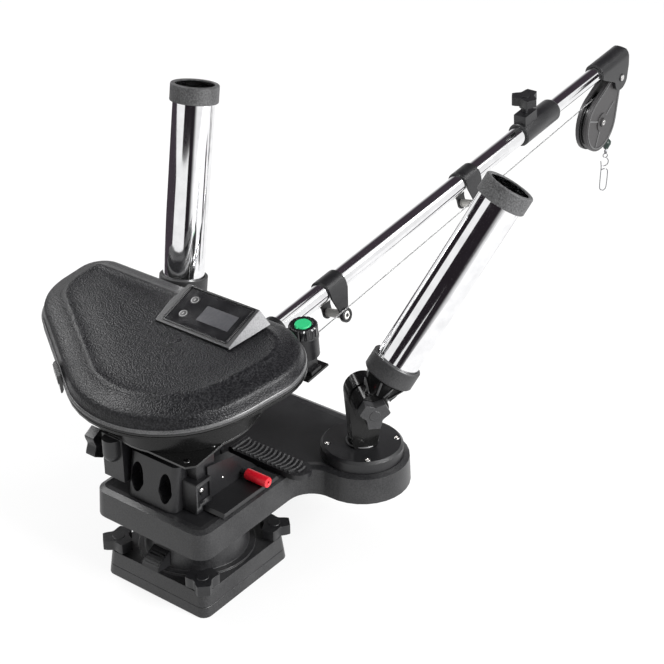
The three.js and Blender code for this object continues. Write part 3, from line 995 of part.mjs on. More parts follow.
function buildBoomHead() {
  const bore = UPPER_TUBE_RADIUS + SEAT;
  const outer = bore + BOOM_HEAD_WALL;
  const cheekBottom = -PIVOT_DROP - CHEEK_RADIUS;
  const jacket = (radius, bottom) => [...arc(0, 0, radius, 0, Math.PI, 16), [-radius, bottom], [radius, bottom]];
  const solidJacket = sectioned(jacket(outer, cheekBottom), BOOM_HEAD_X0, BOOM_HEAD_X1);
  const hollow = join(rodX(bore, BOOM_HEAD_X0 - OVERRUN, BOOM_HEAD_X1 - BOOM_HEAD_NOSE),
    block(BOOM_HEAD_X0 - OVERRUN, BOOM_HEAD_X1 + OVERRUN, -bore, bore, cheekBottom - OVERRUN, -bore + OVERRUN));
  const sideView = profiled([
    [BOOM_HEAD_X0, outer], [BOOM_HEAD_X0, -bore / 2], [PIVOT_X - CHEEK_RADIUS, -PIVOT_DROP],
    ...arc(PIVOT_X, -PIVOT_DROP, CHEEK_RADIUS, 1.15 * Math.PI, 1.85 * Math.PI, 8),
    [BOOM_HEAD_X1, -PIVOT_DROP / 2], [BOOM_HEAD_X1, outer - BOOM_HEAD_WALL], [BOOM_HEAD_X1 - BOOM_HEAD_WALL, outer],
  ], -outer - OVERRUN, outer + OVERRUN);
  const pivot = join(rodY(PIVOT_RADIUS, -outer - EDGE_BREAK, outer + EDGE_BREAK, 20),
    rodY(PIVOT_RADIUS + OVERRUN, -outer - EDGE_BREAK, -outer + EDGE_BREAK, 20)).translate(PIVOT_X, 0, -PIVOT_DROP);
  const shell = common(cut(solidJacket, hollow), sideView);
  add(head, 'boom_head', onBoom(join(shell, pivot)), blackPlastic());

  const pivotZ = BOOM_AXIS - PIVOT_DROP;
  const plateHalf = PULLEY_GAP / 2 + PULLEY_PLATE;
  const teardrop = hullOutline([[AXLE_X, AXLE_Z, PULLEY_RADIUS], [PIVOT_X, pivotZ, PULLEY_NECK_RADIUS]], 0, 11 * DEGREE);
  const pads = [[-plateHalf, -PULLEY_GAP / 2], [PULLEY_GAP / 2, plateHalf]].map(([y0, y1]) => profiled(teardrop, y0, y1));
  const spacer = rodY(PULLEY_NECK_RADIUS - OVERRUN, -plateHalf, plateHalf, 24).translate(PIVOT_X, 0, pivotZ);
  const axle = rodY(AXLE_RADIUS, -plateHalf, plateHalf, 20).translate(AXLE_X, 0, AXLE_Z);
  const faces = [-1, 1].map((s) => join(
    rodY(PULLEY_BOSS_RADIUS, s > 0 ? plateHalf - EDGE_BREAK : -plateHalf - PULLEY_BOSS_HEIGHT,
      s > 0 ? plateHalf + PULLEY_BOSS_HEIGHT : -plateHalf + EDGE_BREAK, 28),
    rodY(AXLE_HEAD_RADIUS, s > 0 ? plateHalf : -plateHalf - PULLEY_BOSS_HEIGHT - AXLE_HEAD_HEIGHT,
      s > 0 ? plateHalf + PULLEY_BOSS_HEIGHT + AXLE_HEAD_HEIGHT : -plateHalf, 20),
  ).translate(AXLE_X, 0, AXLE_Z));
  const pivotHole = rodY(PIVOT_RADIUS + SEAT, -plateHalf - OVERRUN, plateHalf + OVERRUN, 20)
    .translate(PIVOT_X, 0, pivotZ);
  add(head, 'pulley_housing', cut(join(...pads, spacer, axle, ...faces), pivotHole), glossPlastic());

  const half = WHEEL_WIDTH / 2;
  const wheel = turned([[AXLE_RADIUS + SEAT, -half], [WHEEL_RADIUS, -half], [WHEEL_RADIUS, -half + EDGE_BREAK],
    [GROOVE_RADIUS, -CABLE_RADIUS], [GROOVE_RADIUS, CABLE_RADIUS], [WHEEL_RADIUS, half - EDGE_BREAK],
    [WHEEL_RADIUS, half], [AXLE_RADIUS + SEAT, half]], 40).rotateX(RIGHT_ANGLE).translate(AXLE_X, 0, AXLE_Z);
  add(head, 'pulley_wheel', wheel, glossPlastic());
}

function buildCable() {
  const straight = [REEL_X + OVERRUN, (REEL_X + AXLE_X) / 2, AXLE_X - SEAT].map(cablePoint);
  add(head, 'cable_run', wire(straight, CABLE_RADIUS, 12), steel());

  // The rest hangs true to the world: over the wheel, straight down and through the bead
  const hanging = new THREE.Group();
  hanging.position.set(AXLE_X, 0, AXLE_Z);
  hanging.rotation.y = HEAD_TILT;
  head.add(hanging);
  const over = arc(0, 0, CABLE_REACH, RIGHT_ANGLE + HEAD_TILT - SEAT / CABLE_REACH, 0, 8)
    .map(([x, z]) => new THREE.Vector3(x, 0, z));
  const down = [1 / 2, 1].map((share) => new THREE.Vector3(CABLE_REACH, 0, -CABLE_DROP * share));
  add(hanging, 'cable_drop', wire([...over, ...down], CABLE_RADIUS, 24), steel());
  const beadTop = -CABLE_DROP - SEAT;
  const bead = turned([[0, 0], [BEAD_RADIUS / 2, 0], [BEAD_RADIUS, -BEAD_LENGTH / 4], [BEAD_RADIUS, -BEAD_LENGTH / 2],
    [BEAD_RADIUS * 0.7, -BEAD_LENGTH * 0.8], [BEAD_RADIUS / 2, -BEAD_LENGTH], [0, -BEAD_LENGTH]], 28);
  add(hanging, 'stop_bead', bead.translate(CABLE_REACH, 0, beadTop), rubber());

  const swivelTop = beadTop - BEAD_LENGTH - SEAT;
  const barrel = turned([[0, 0], [SWIVEL_RADIUS / 2, 0], [SWIVEL_RADIUS, -SWIVEL_RADIUS],
    [SWIVEL_RADIUS, -SWIVEL_LENGTH + SWIVEL_RADIUS], [SWIVEL_RADIUS / 2, -SWIVEL_LENGTH], [0, -SWIVEL_LENGTH]], 20);
  const ringZ = -SWIVEL_LENGTH - SNAP_RING_RADIUS + SNAP_WIRE;
  const eye = new THREE.TorusGeometry(SNAP_RING_RADIUS, SNAP_WIRE, 6, 16).rotateX(RIGHT_ANGLE).translate(0, 0, ringZ);
  const loopTop = ringZ - SNAP_RING_RADIUS;
  const half = SNAP_HALF_WIDTH;
  const oval = [
    ...arc(0, loopTop - half, half, 0, Math.PI, 6),
    ...arc(0, loopTop - SNAP_LENGTH + half, half, Math.PI, FULL_TURN, 6),
  ].map(([x, z]) => new THREE.Vector3(x, 0, z));
  const loop = wire(oval, SNAP_WIRE, 28, 6, true);
  const snap = add(hanging, 'swivel_snap', join(barrel, eye, loop), steel());
  snap.position.set(CABLE_REACH, 0, swivelTop);
  snap.rotation.z = -RIGHT_ANGLE / 2;
}

function buildSwitch() {
  const place = (piece) => piece.position.set(SWITCH_X, SWITCH_Y, 0);
  const can = turned([[0, SWITCH_BOTTOM], [SWITCH_RADIUS, SWITCH_BOTTOM], [SWITCH_RADIUS, SWITCH_TOP - SWITCH_BEZEL_HEIGHT],
    [SWITCH_BEZEL, SWITCH_TOP - SWITCH_BEZEL_HEIGHT], [SWITCH_BEZEL, SWITCH_TOP - EDGE_BREAK],
    [SWITCH_BEZEL - EDGE_BREAK, SWITCH_TOP], [0, SWITCH_TOP]], 40);
  const legBack = -SWITCH_LEG_SETBACK;
  const leg = block(-SWITCH_LEG_WIDTH / 2, SWITCH_LEG_WIDTH / 2, legBack - SWITCH_LEG_THICKNESS, legBack,
    0, SWITCH_BOTTOM + OVERRUN);
  const foot = block(-SWITCH_LEG_WIDTH / 2, SWITCH_LEG_WIDTH / 2, -SWITCH_RADIUS + SHEET, legBack,
    0, SWITCH_LEG_THICKNESS);
  const socketSide = -SWITCH_Y - (LOWER_TUBE_RADIUS + SEAT + SLEEVE_WALL) - SEAT;
  const arm = block(-SWITCH_ARM_WIDTH / 2, SWITCH_ARM_WIDTH / 2, 0, socketSide,
    SWITCH_BOTTOM, BOOM_AXIS + SWITCH_LEG_THICKNESS);
  place(add(head, 'switch_body', join(can, leg, foot, arm), blackPlastic()));

  const knobBottom = SWITCH_TOP + SEAT;
  const knobTop = knobBottom + SWITCH_KNOB_HEIGHT;
  const flutes = (radius) => {
    const outline = [];
    const steps = SWITCH_FLUTES * 4;
    for (let i = 0; i < steps; i += 1) {
      const angle = (FULL_TURN * i) / steps;
      const r = radius - (i % 4 === 0 ? SWITCH_FLUTE : 0);
      outline.push([r * Math.cos(angle), r * Math.sin(angle)]);
    }
    return outline;
  };
  const seat = disc(CAP_RADIUS + SEAT, knobTop - CAP_THICKNESS + CAP_PROUD - SEAT, knobTop + OVERRUN, 36);
  const grip = cut(loft([[flutes(SWITCH_KNOB_RADIUS), knobBottom],
    [flutes(SWITCH_KNOB_RADIUS), knobTop - 2 * EDGE_BREAK],
    [flutes(SWITCH_KNOB_RADIUS - 1.5 * EDGE_BREAK), knobTop]]), seat);
  place(add(head, 'switch_knob', grip, glossPlastic()));
  const capTop = knobTop + CAP_PROUD;
  const cap = join(turned([[0, capTop - CAP_THICKNESS], [CAP_RADIUS, capTop - CAP_THICKNESS],
    [CAP_RADIUS, capTop - EDGE_BREAK], [CAP_RADIUS - EDGE_BREAK, capTop], [0, capTop]], 36),
    block(-CAP_RADIUS - CAP_POINTER, -CAP_RADIUS + CAP_POINTER, -CAP_POINTER / 2, CAP_POINTER / 2, knobTop + SEAT, capTop));
  place(add(head, 'switch_cap', cap, greenPlastic()));
}

function buildHolder({ name, side, yaw, lean, hand }) {
  const flangeBottom = PLATE_TOP + SEAT;
  const flange = turned([[0, flangeBottom], [HOLDER_FLANGE_RADIUS, flangeBottom],
    [HOLDER_FLANGE_RADIUS, HOLDER_FLANGE_TOP - HOLDER_CHAMFER], [HOLDER_FLANGE_RADIUS - HOLDER_CHAMFER, HOLDER_FLANGE_TOP],
    [HOLDER_SPIGOT_RADIUS + RUNNING_FIT, HOLDER_FLANGE_TOP],
    [HOLDER_SPIGOT_RADIUS + RUNNING_FIT, HOLDER_FLANGE_TOP - HOLDER_SPIGOT_DEPTH - SEAT],
    [0, HOLDER_FLANGE_TOP - HOLDER_SPIGOT_DEPTH - SEAT]]);
  const sinks = [];
  for (let i = 0; i < HOLDER_SCREWS; i += 1) {
    const angle = (FULL_TURN * (i + 0.5)) / HOLDER_SCREWS;
    sinks.push(disc(HOLDER_SCREW_RADIUS, HOLDER_FLANGE_TOP - HOLDER_SCREW_SINK, HOLDER_FLANGE_TOP + OVERRUN, 10)
      .translate(HOLDER_SCREW_CIRCLE * Math.cos(angle), HOLDER_SCREW_CIRCLE * Math.sin(angle), 0));
  }
  const foot = new THREE.Group();
  foot.position.set(LOBE_X, side * LOBE_Y, 0);
  downrigger.add(foot);
  add(foot, `${name}_holder_flange`, cut(flange, ...sinks), blackPlastic());

  const turret = new THREE.Group();
  turret.position.z = HOLDER_FLANGE_TOP + SEAT;
  turret.rotation.z = yaw;
  foot.add(turret);
  const span = (a, b) => (hand > 0 ? [a, b] : [-b, -a]);
  const cheek = profiled(hullOutline([[0, POST_FOOT_RADIUS / 2, POST_FOOT_RADIUS], [0, HINGE_HEIGHT, HINGE_RADIUS]], 0,
    12 * DEGREE),
    ...span(-POST_BACK, POST_FACE - HINGE_TOOTH));
  const trimmed = common(cheek, block(-HINGE_RADIUS, HINGE_RADIUS, -POST_RING_RADIUS * 2, POST_RING_RADIUS * 2,
    0, HINGE_HEIGHT * 2));
  const base = join(disc(POST_RING_RADIUS, 0, POST_RING_HEIGHT, 36, POST_RING_RADIUS - HINGE_TOOTH),
    disc(HOLDER_SPIGOT_RADIUS, -HOLDER_SPIGOT_DEPTH, POST_RING_HEIGHT, 32));
  const teeth = [];
  for (let i = 0; i < HINGE_TEETH; i += 1) {
    teeth.push(block(HINGE_RADIUS / 2, HINGE_RADIUS - HINGE_TOOTH, ...span(POST_FACE - 2 * HINGE_TOOTH, POST_FACE),
      -HINGE_TOOTH / 2, HINGE_TOOTH / 2).rotateY((FULL_TURN * i) / HINGE_TEETH).translate(0, 0, HINGE_HEIGHT));
  }
  const studHole = rodY(KNOB_STUD_RADIUS + SEAT, -3 * POST_RING_RADIUS, 3 * POST_RING_RADIUS, 16)
    .translate(0, 0, HINGE_HEIGHT);
  add(turret, `${name}_holder_post`, cut(join(trimmed, base, ...teeth), studHole), glossPlastic());

  const cradleGroup = new THREE.Group();
  cradleGroup.position.z = HINGE_HEIGHT;
  cradleGroup.rotation.y = lean;
  turret.add(cradleGroup);
  const centreY = hand * CRADLE_OFFSET;
  const cradleNear = POST_FACE + RUNNING_FIT;
  const bossTop = HOLDER_TUBE_RADIUS + SEAT + HOLDER_COLLAR_WALL;
  const hub = rodY(CRADLE_RADIUS, ...span(cradleNear, CRADLE_FACE), 36);
  const circle = (radius, y) => arc(0, y, radius, 0, FULL_TURN * (1 - 1 / 30), 29);
  const funnel = loft([[circle(CRADLE_NECK_RADIUS - SLEEVE_WALL, centreY), 0],
    [circle(CRADLE_NECK_RADIUS, centreY), COLLAR_START / 2],
    [circle(bossTop - HOLDER_COLLAR_WALL, centreY), COLLAR_START],
    [circle(bossTop, centreY), COLLAR_START + HOLDER_COLLAR_WALL], [circle(bossTop, centreY), COLLAR_END]]);
  const clearPost = rodY(HINGE_RADIUS + OVERRUN, ...span(-HOLDER_TUBE_RADIUS, cradleNear), 36);
  const tubeSeat = disc(HOLDER_TUBE_RADIUS + SEAT, COLLAR_START + COLLAR_FLOOR, COLLAR_END + OVERRUN, 40)
    .translate(0, centreY, 0);
  const cradleHole = rodY(KNOB_STUD_RADIUS + SEAT, -2 * CRADLE_FACE, 2 * CRADLE_FACE, 16);
  const knobRoom = rodY(HOLDER_KNOB_RADIUS + OVERRUN, ...span(CRADLE_FACE, 2 * CRADLE_FACE), 28);
  add(cradleGroup, `${name}_holder_cradle`, cut(join(hub, funnel), clearPost, tubeSeat, cradleHole, knobRoom),
    glossPlastic());

  const tubeStart = COLLAR_START + COLLAR_FLOOR + SEAT;
  add(cradleGroup, `${name}_holder_tube`,
    ring(HOLDER_TUBE_RADIUS, HOLDER_TUBE_RADIUS - HOLDER_TUBE_WALL, tubeStart, HOLDER_TUBE_END, 40)
      .translate(0, centreY, 0), chrome());
  const cuffInner = HOLDER_TUBE_RADIUS + SEAT;
  const lipInner = HOLDER_TUBE_RADIUS - HOLDER_TUBE_WALL;
  const cuff = turned([[cuffInner, TOP_RING_START], [cuffInner + HOLDER_COLLAR_WALL, TOP_RING_START],
    [cuffInner + HOLDER_COLLAR_WALL, TOP_RING_END - EDGE_BREAK],
    [cuffInner + HOLDER_COLLAR_WALL - EDGE_BREAK, TOP_RING_END], [lipInner, TOP_RING_END],
    [lipInner, HOLDER_TUBE_END + SEAT], [cuffInner, HOLDER_TUBE_END + SEAT]]);
  add(cradleGroup, `${name}_holder_ring`, cuff.translate(0, centreY, 0), rubber());

  const wing = add(turret, `${name}_holder_knob`,
    knob(HOLDER_KNOB_RADIUS, HOLDER_KNOB_HEIGHT, 0, CRADLE_FACE + POST_BACK - OVERRUN)
      .rotateX(-hand * RIGHT_ANGLE), blackPlastic());
  wing.position.set(0, hand * (CRADLE_FACE + SEAT), HINGE_HEIGHT);
}

buildBase();
buildLatch();
buildRodHolderPlate();
buildSlide();
buildFrame();
buildHeadShell();
buildDisplay();
buildDrive();
buildCoverClip();
buildBoom();
buildBoomHead();
buildCable();
buildSwitch();
HOLDERS.forEach(buildHolder);

export default downrigger;
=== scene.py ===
"""Looks of the downrigger: every piece in fine form, with its finish, in a white studio."""

import json
import logging
import math
from dataclasses import dataclass, field
from enum import Enum
from typing import Any, Callable, Iterable, Sequence

import bmesh
import bpy
from mathutils import Matrix, Vector

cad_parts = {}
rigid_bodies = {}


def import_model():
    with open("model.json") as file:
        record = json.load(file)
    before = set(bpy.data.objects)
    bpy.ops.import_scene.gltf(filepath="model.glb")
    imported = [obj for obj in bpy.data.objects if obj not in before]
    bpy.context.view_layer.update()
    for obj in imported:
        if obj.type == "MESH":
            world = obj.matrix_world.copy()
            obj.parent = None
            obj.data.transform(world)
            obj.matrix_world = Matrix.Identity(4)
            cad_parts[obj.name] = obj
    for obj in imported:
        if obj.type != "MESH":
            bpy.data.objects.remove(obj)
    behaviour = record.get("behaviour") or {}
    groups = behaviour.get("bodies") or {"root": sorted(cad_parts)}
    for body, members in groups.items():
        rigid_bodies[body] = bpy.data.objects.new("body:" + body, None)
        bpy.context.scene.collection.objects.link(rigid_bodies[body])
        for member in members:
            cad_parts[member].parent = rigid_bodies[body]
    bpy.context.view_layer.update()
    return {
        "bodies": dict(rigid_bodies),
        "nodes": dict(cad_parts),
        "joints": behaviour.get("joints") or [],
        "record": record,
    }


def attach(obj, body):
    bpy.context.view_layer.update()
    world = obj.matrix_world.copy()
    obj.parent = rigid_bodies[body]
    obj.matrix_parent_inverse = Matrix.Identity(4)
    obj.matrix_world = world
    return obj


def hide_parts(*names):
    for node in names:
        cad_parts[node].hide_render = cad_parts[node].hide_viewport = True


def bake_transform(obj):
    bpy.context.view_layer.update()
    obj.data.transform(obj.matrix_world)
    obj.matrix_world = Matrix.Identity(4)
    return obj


log = logging.getLogger("downrigger")

MM = 0.001
DEGREE = math.pi / 180

# The reel head's own frame: its height on the turret, and its tilt, which the boom shares.
HEAD_HEIGHT = 204.0
HEAD_TILT = -6.9
HEAD = Matrix.Translation((0, 0, HEAD_HEIGHT)) @ Matrix.Rotation(HEAD_TILT * DEGREE, 4, "Y")

# In that frame: the height of the boom's axis, and the reel's place.
BOOM_AXIS = 24.5
REEL = (18.0, 24.0)

WHITE = (1.0, 1.0, 1.0, 1.0)

Point = Sequence[float]
Colour = tuple[float, float, float]


def placed(name: str, data: Any) -> bpy.types.Object:
    """Args: name; data, a mesh, lamp or camera. Returns: a new object of it in the scene."""
    made = bpy.data.objects.new(name, data)
    bpy.context.scene.collection.objects.link(made)
    return made


# ---------------------------------------------------------------- shader maths

class Sock:
    """A shader socket that takes part in sums."""

    def __init__(self, graph: "Graph", socket: bpy.types.NodeSocket) -> None:
        """Args: graph, the graph it is in; socket, the output it stands for."""
        self.graph = graph
        self.socket = socket

    def _maths(self, operation: str, *values: Any) -> "Sock":
        """Args: operation, the maths; values, its inputs. Returns: the result."""
        return self.graph.node("ShaderNodeMath", {"operation": operation},
                               dict(enumerate(values)))

    def __add__(self, other: Any) -> "Sock":
        """Args: other, what is added. Returns: the sum."""
        return self._maths("ADD", self, other)

    __radd__ = __add__

    def __sub__(self, other: Any) -> "Sock":
        """Args: other, what is taken away. Returns: the rest."""
        return self._maths("SUBTRACT", self, other)

    def __rsub__(self, other: Any) -> "Sock":
        """Args: other, what this is taken from. Returns: the rest."""
        return self._maths("SUBTRACT", other, self)

    def __mul__(self, other: Any) -> "Sock":
        """Args: other, the factor. Returns: the product."""
        return self._maths("MULTIPLY", self, other)

    __rmul__ = __mul__

    def larger(self, other: Any) -> "Sock":
        """Args: other, a value. Returns: the larger of the two."""
        return self._maths("MAXIMUM", self, other)

    def above(self, edge: float, soft: float) -> "Sock":
        """A soft step.

        Args:
            edge: where the step has risen by half.
            soft: how far the rise reaches to each side.

        Returns:
            0 below the edge and 1 above it.
        """
        return self.graph.node("ShaderNodeMapRange", {"interpolation_type": "SMOOTHSTEP"},
                               {"Value": self, "From Min": edge - soft, "From Max": edge + soft})

    def between(self, low: float, high: float) -> "Sock":
        """Args: low and high, the ends. Returns: this 0..1 value spread over them."""
        return self * (high - low) + low


class Graph:
    """The node graph of a material or a world."""

    def __init__(self, owner: bpy.types.Material | bpy.types.World) -> None:
        """Args: owner, what the graph dresses."""
        owner.use_nodes = True
        self.owner = owner
        self.tree = owner.node_tree
        self.tree.nodes.clear()

    @classmethod
    def named(cls, name: str) -> "Graph":
        """Args: name, of a new material. Returns: its empty graph."""
        return cls(bpy.data.materials.new(name))

    def added(self, kind: str, settings: dict[str, Any] | None = None,
              inputs: dict[Any, Any] | None = None) -> bpy.types.Node:
        """Adds a node.

        Args:
            kind: the node's type.
            settings: its properties, set first.
            inputs: values or sockets, by input name or number.

        Returns:
            The node.
        """
        made = self.tree.nodes.new(kind)
        for key, value in (settings or {}).items():
            setattr(made, key, value)
        for key, value in (inputs or {}).items():
            if isinstance(value, Sock):
                self.tree.links.new(value.socket, made.inputs[key])
            else:
                made.inputs[key].default_value = value
        return made

    def node(self, kind: str, settings: dict[str, Any] | None = None,
             inputs: dict[Any, Any] | None = None, output: int | str = 0) -> Sock:
        """Args: as for added, and output, the one wanted. Returns: that output of the node."""
        return Sock(self, self.added(kind, settings, inputs).outputs[output])

    def place(self) -> Sock:
        """Returns: the place on the piece, in metres."""
        return self.node("ShaderNodeTexCoord", output="Object")

    def stretched(self, at: Sock, scale: Point) -> Sock:
        """Args: at, a place; scale, its factors. Returns: the place scaled."""
        return self.node("ShaderNodeMapping", inputs={"Vector": at, "Scale": tuple(scale)})

    def noise(self, at: Sock, scale: float, detail: float = 3.0) -> Sock:
        """Args: at, a place; scale, waves to the metre; detail, its octaves. Returns: noise."""
        return self.node("ShaderNodeTexNoise", {"noise_dimensions": "3D"},
                         {"Vector": at, "Scale": scale, "Detail": detail})

    def colours(self, factor: Sock, low: Point, high: Point) -> Sock:
        """Args: factor, 0..1; low and high, the colours. Returns: their mix."""
        return self.node("ShaderNodeMix", {"data_type": "RGBA"},
                         {0: factor, 6: (*low, 1.0), 7: (*high, 1.0)}, output=2)

    def bump(self, height: Sock, distance: float, strength: float = 1.0) -> Sock:
        """Args: height, 0..1; distance, its metres; strength. Returns: the normal."""
        return self.node("ShaderNodeBump", inputs={"Height": height, "Distance": distance,
                                                   "Strength": strength})

    def shade(self, **inputs: Any) -> bpy.types.Material:
        """Args: inputs, by principled input name with _ for a space. Returns: the material."""
        named = {key.replace("_", " "): value for key, value in inputs.items()}
        return self.shown(self.node("ShaderNodeBsdfPrincipled", inputs=named))

    def glow(self, colour: Any, strength: float = 1.0) -> Sock:
        """Args: colour, a colour or a socket; strength. Returns: an emission."""
        return self.node("ShaderNodeEmission", inputs={"Color": colour, "Strength": strength})

    def both(self, one: Sock, other: Sock) -> Sock:
        """Args: one and other, shaders. Returns: their sum."""
        return self.node("ShaderNodeAddShader", inputs={0: one, 1: other})

    def whites(self, kind: str, plain: float, bright: float) -> Sock:
        """White for the eye and for what shines or lets light through, and less for the rest.

        Args:
            kind: the shader's type, a background or an emission.
            plain: its strength as light on matt surfaces.
            bright: its strength as it is seen.

        Returns:
            The mixed shader.
        """
        rays = self.added("ShaderNodeLightPath").outputs
        seen = Sock(self, rays["Is Camera Ray"]).larger(Sock(self, rays["Is Glossy Ray"]))
        seen = seen.larger(Sock(self, rays["Is Transmission Ray"]))
        low, high = (self.node(kind, inputs={"Color": WHITE, "Strength": strength})
                     for strength in (plain, bright))
        return self.node("ShaderNodeMixShader", inputs={0: seen, 1: low, 2: high})

    def shown(self, shader: Sock) -> Any:
        """Args: shader, what the surface shows. Returns: the material or world."""
        world = isinstance(self.owner, bpy.types.World)
        self.added("ShaderNodeOutputWorld" if world else "ShaderNodeOutputMaterial",
                   inputs={"Surface": shader})
        return self.owner


# ---------------------------------------------------------------- finishes

@dataclass(frozen=True)
class Plastic:
    """A moulded plastic with a fine grain.

    Attributes:
        name: the material's name.
        dark: the darkest colour.
        light: the lightest colour.
        rough: the lowest and highest roughness.
        grain: the grain's waves to the metre.
        depth: the grain's depth in metres.
        coat: the clear coat's weight.
        glint: the specular level.
    """

    name: str
    dark: Colour = (0.005, 0.005, 0.006)
    light: Colour = (0.013, 0.013, 0.014)
    rough: tuple[float, float] = (0.30, 0.42)
    grain: float = 620.0
    depth: float = 0.00016
    coat: float = 0.0
    glint: float = 0.5

    def build(self) -> bpy.types.Material:
        """Returns: the material."""
        graph = Graph.named(self.name)
        at = graph.place()
        cloud = graph.noise(at, 26.0, 4.0)
        fine = graph.noise(at, self.grain, 2.0)
        rough = (cloud * 0.6 + fine * 0.4).above(0.5, 0.22).between(*self.rough)
        tone = (cloud * 0.4 + fine * 0.6).above(0.5, 0.22)
        return graph.shade(Base_Color=graph.colours(tone, self.dark, self.light),
                           Roughness=rough, Coat_Weight=self.coat, Coat_Roughness=0.12,
                           Specular_IOR_Level=self.glint,
                           Normal=graph.bump(fine, self.depth))


@dataclass(frozen=True)
class Pebbled:
    """The cover's pebbled plastic.

    Attributes:
        name: the material's name.
        dark: the colour between the pebbles, as painted shade.
        light: the colour on them, as a painted highlight.
        rough: the lowest and highest roughness.
        pebbles: the pebbles' waves to the metre.
        depth: their depth in metres.
    """

    name: str
    dark: Colour = (0.004, 0.004, 0.005)
    light: Colour = (0.020, 0.020, 0.022)
    rough: tuple[float, float] = (0.27, 0.38)
    pebbles: float = 520.0
    depth: float = 0.00036

    def build(self) -> bpy.types.Material:
        """Returns: the material."""
        graph = Graph.named(self.name)
        at = graph.place()
        pebble = graph.noise(at, self.pebbles, 1.5)
        cloud = graph.noise(at, 18.0, 3.0)
        height = pebble.above(0.52, 0.16)
        # The colour follows the pebbles' height: painted shade between them, a painted highlight on
        # them.
        tone = pebble.above(0.54, 0.13)
        return graph.shade(Base_Color=graph.colours(tone, self.dark, self.light),
                           Roughness=cloud.above(0.5, 0.25).between(*self.rough),
                           Specular_IOR_Level=0.26, Normal=graph.bump(height, self.depth, 0.7))


@dataclass(frozen=True)
class Metal:
    """A metal with faint marks drawn out along one way.

    Attributes:
        name: the material's name.
        dark: the darkest colour.
        light: the lightest colour.
        rough: the lowest and highest roughness.
        drawn: the marks' waves to the metre along X, Y and Z.
        depth: the marks' depth in metres.
    """

    name: str
    dark: Colour = (0.78, 0.78, 0.79)
    light: Colour = (0.90, 0.90, 0.91)
    rough: tuple[float, float] = (0.04, 0.09)
    drawn: tuple[float, float, float] = (60.0, 60.0, 60.0)
    depth: float = 0.000004

    def build(self) -> bpy.types.Material:
        """Returns: the material."""
        graph = Graph.named(self.name)
        at = graph.place()
        marks = graph.noise(graph.stretched(at, self.drawn), 1.0, 5.0)
        smudge = graph.noise(at, 14.0, 3.0).above(0.55, 0.2)
        return graph.shade(Base_Color=graph.colours(marks.above(0.5, 0.3), self.dark, self.light),
                           Metallic=1.0,
                           Roughness=(marks * 0.5 + smudge * 0.5).between(*self.rough),
                           Normal=graph.bump(marks, self.depth))


@dataclass(frozen=True)
class Strand:
    """Wire rope laid from twisted strands along X.

    Attributes:
        name: the material's name.
        lay: the strands' waves to the metre.
    """

    name: str
    lay: float = 900.0

    def build(self) -> bpy.types.Material:
        """Returns: the material."""
        graph = Graph.named(self.name)
        at = graph.place()
        wave = graph.node("ShaderNodeTexWave", {"bands_direction": "DIAGONAL"},
                          {"Vector": at, "Scale": self.lay, "Distortion": 0.0}, output=1)
        return graph.shade(Base_Color=graph.colours(wave, (0.20, 0.20, 0.20), (0.55, 0.55, 0.55)),
                           Metallic=1.0, Roughness=wave.between(0.28, 0.45),
                           Normal=graph.bump(wave, 0.0002))


@dataclass(frozen=True)
class Glass:
    """The display's dark front with a faint haze.

    Attributes:
        name: the material's name.
        tint: its colour where the haze is thinnest.
    """

    name: str
    tint: Colour = (0.012, 0.012, 0.013)

    def build(self) -> bpy.types.Material:
        """Returns: the material."""
        graph = Graph.named(self.name)
        haze = graph.noise(graph.place(), 45.0, 4.0)
        low = self.tint
        high = tuple(1.5 * value for value in self.tint)
        return graph.shade(Base_Color=graph.colours(haze.above(0.5, 0.2), low, high),
                           Roughness=haze.above(0.5, 0.25).between(0.06, 0.16),
                           Coat_Weight=0.6, Coat_Roughness=0.04)


class Slot(Enum):
    """The record's material slots."""

    BLACK = "black_plastic"
    GREY = "grey_plastic"
    COVER = "cover_plastic"
    GLOSS = "gloss_black"
    CHROME = "tube_chrome"
    PLATE = "plate_steel"
    CABLE = "cable_steel"
    RUBBER = "rubber"
    RED = "red_plastic"
    GREEN = "green_plastic"
    NYLON = "nylon"
    SCREEN = "screen"


FINISHES = {
    Slot.BLACK: Plastic("moulded_black"),
    Slot.GREY: Plastic("moulded_grey", (0.004, 0.004, 0.005), (0.030, 0.030, 0.031)),
    Slot.COVER: Pebbled("pebbled_cover"),
    Slot.GLOSS: Plastic("gloss_black", (0.006, 0.006, 0.007), (0.012, 0.012, 0.013),
                        (0.14, 0.24), grain=500.0, depth=0.00002, coat=0.35),
    Slot.CHROME: Metal("polished_tube"),
    Slot.PLATE: Metal("satin_plate", (0.16, 0.16, 0.17), (0.30, 0.30, 0.31), (0.26, 0.40),
                      drawn=(30.0, 700.0, 700.0), depth=0.00001),
    Slot.CABLE: Metal("bright_wire", (0.50, 0.50, 0.51), (0.72, 0.72, 0.73), (0.16, 0.28),
                      drawn=(500.0, 500.0, 500.0)),
    Slot.RUBBER: Plastic("grained_rubber", (0.016, 0.016, 0.016), (0.034, 0.034, 0.034),
                         (0.62, 0.78), grain=1100.0, glint=0.4),
    Slot.RED: Plastic("red_grip", (0.50, 0.006, 0.016), (0.66, 0.012, 0.026), (0.28, 0.40),
                      grain=700.0, depth=0.00003, coat=0.2),
    Slot.GREEN: Plastic("green_cap", (0.012, 0.40, 0.14), (0.022, 0.50, 0.19), (0.36, 0.46),
                        grain=700.0, depth=0.00003, coat=0.1),
    Slot.NYLON: Plastic("white_nylon", (0.62, 0.61, 0.58), (0.74, 0.73, 0.70), (0.38, 0.50),
                        grain=600.0, depth=0.00003),
    Slot.SCREEN: Glass("display_front"),
}

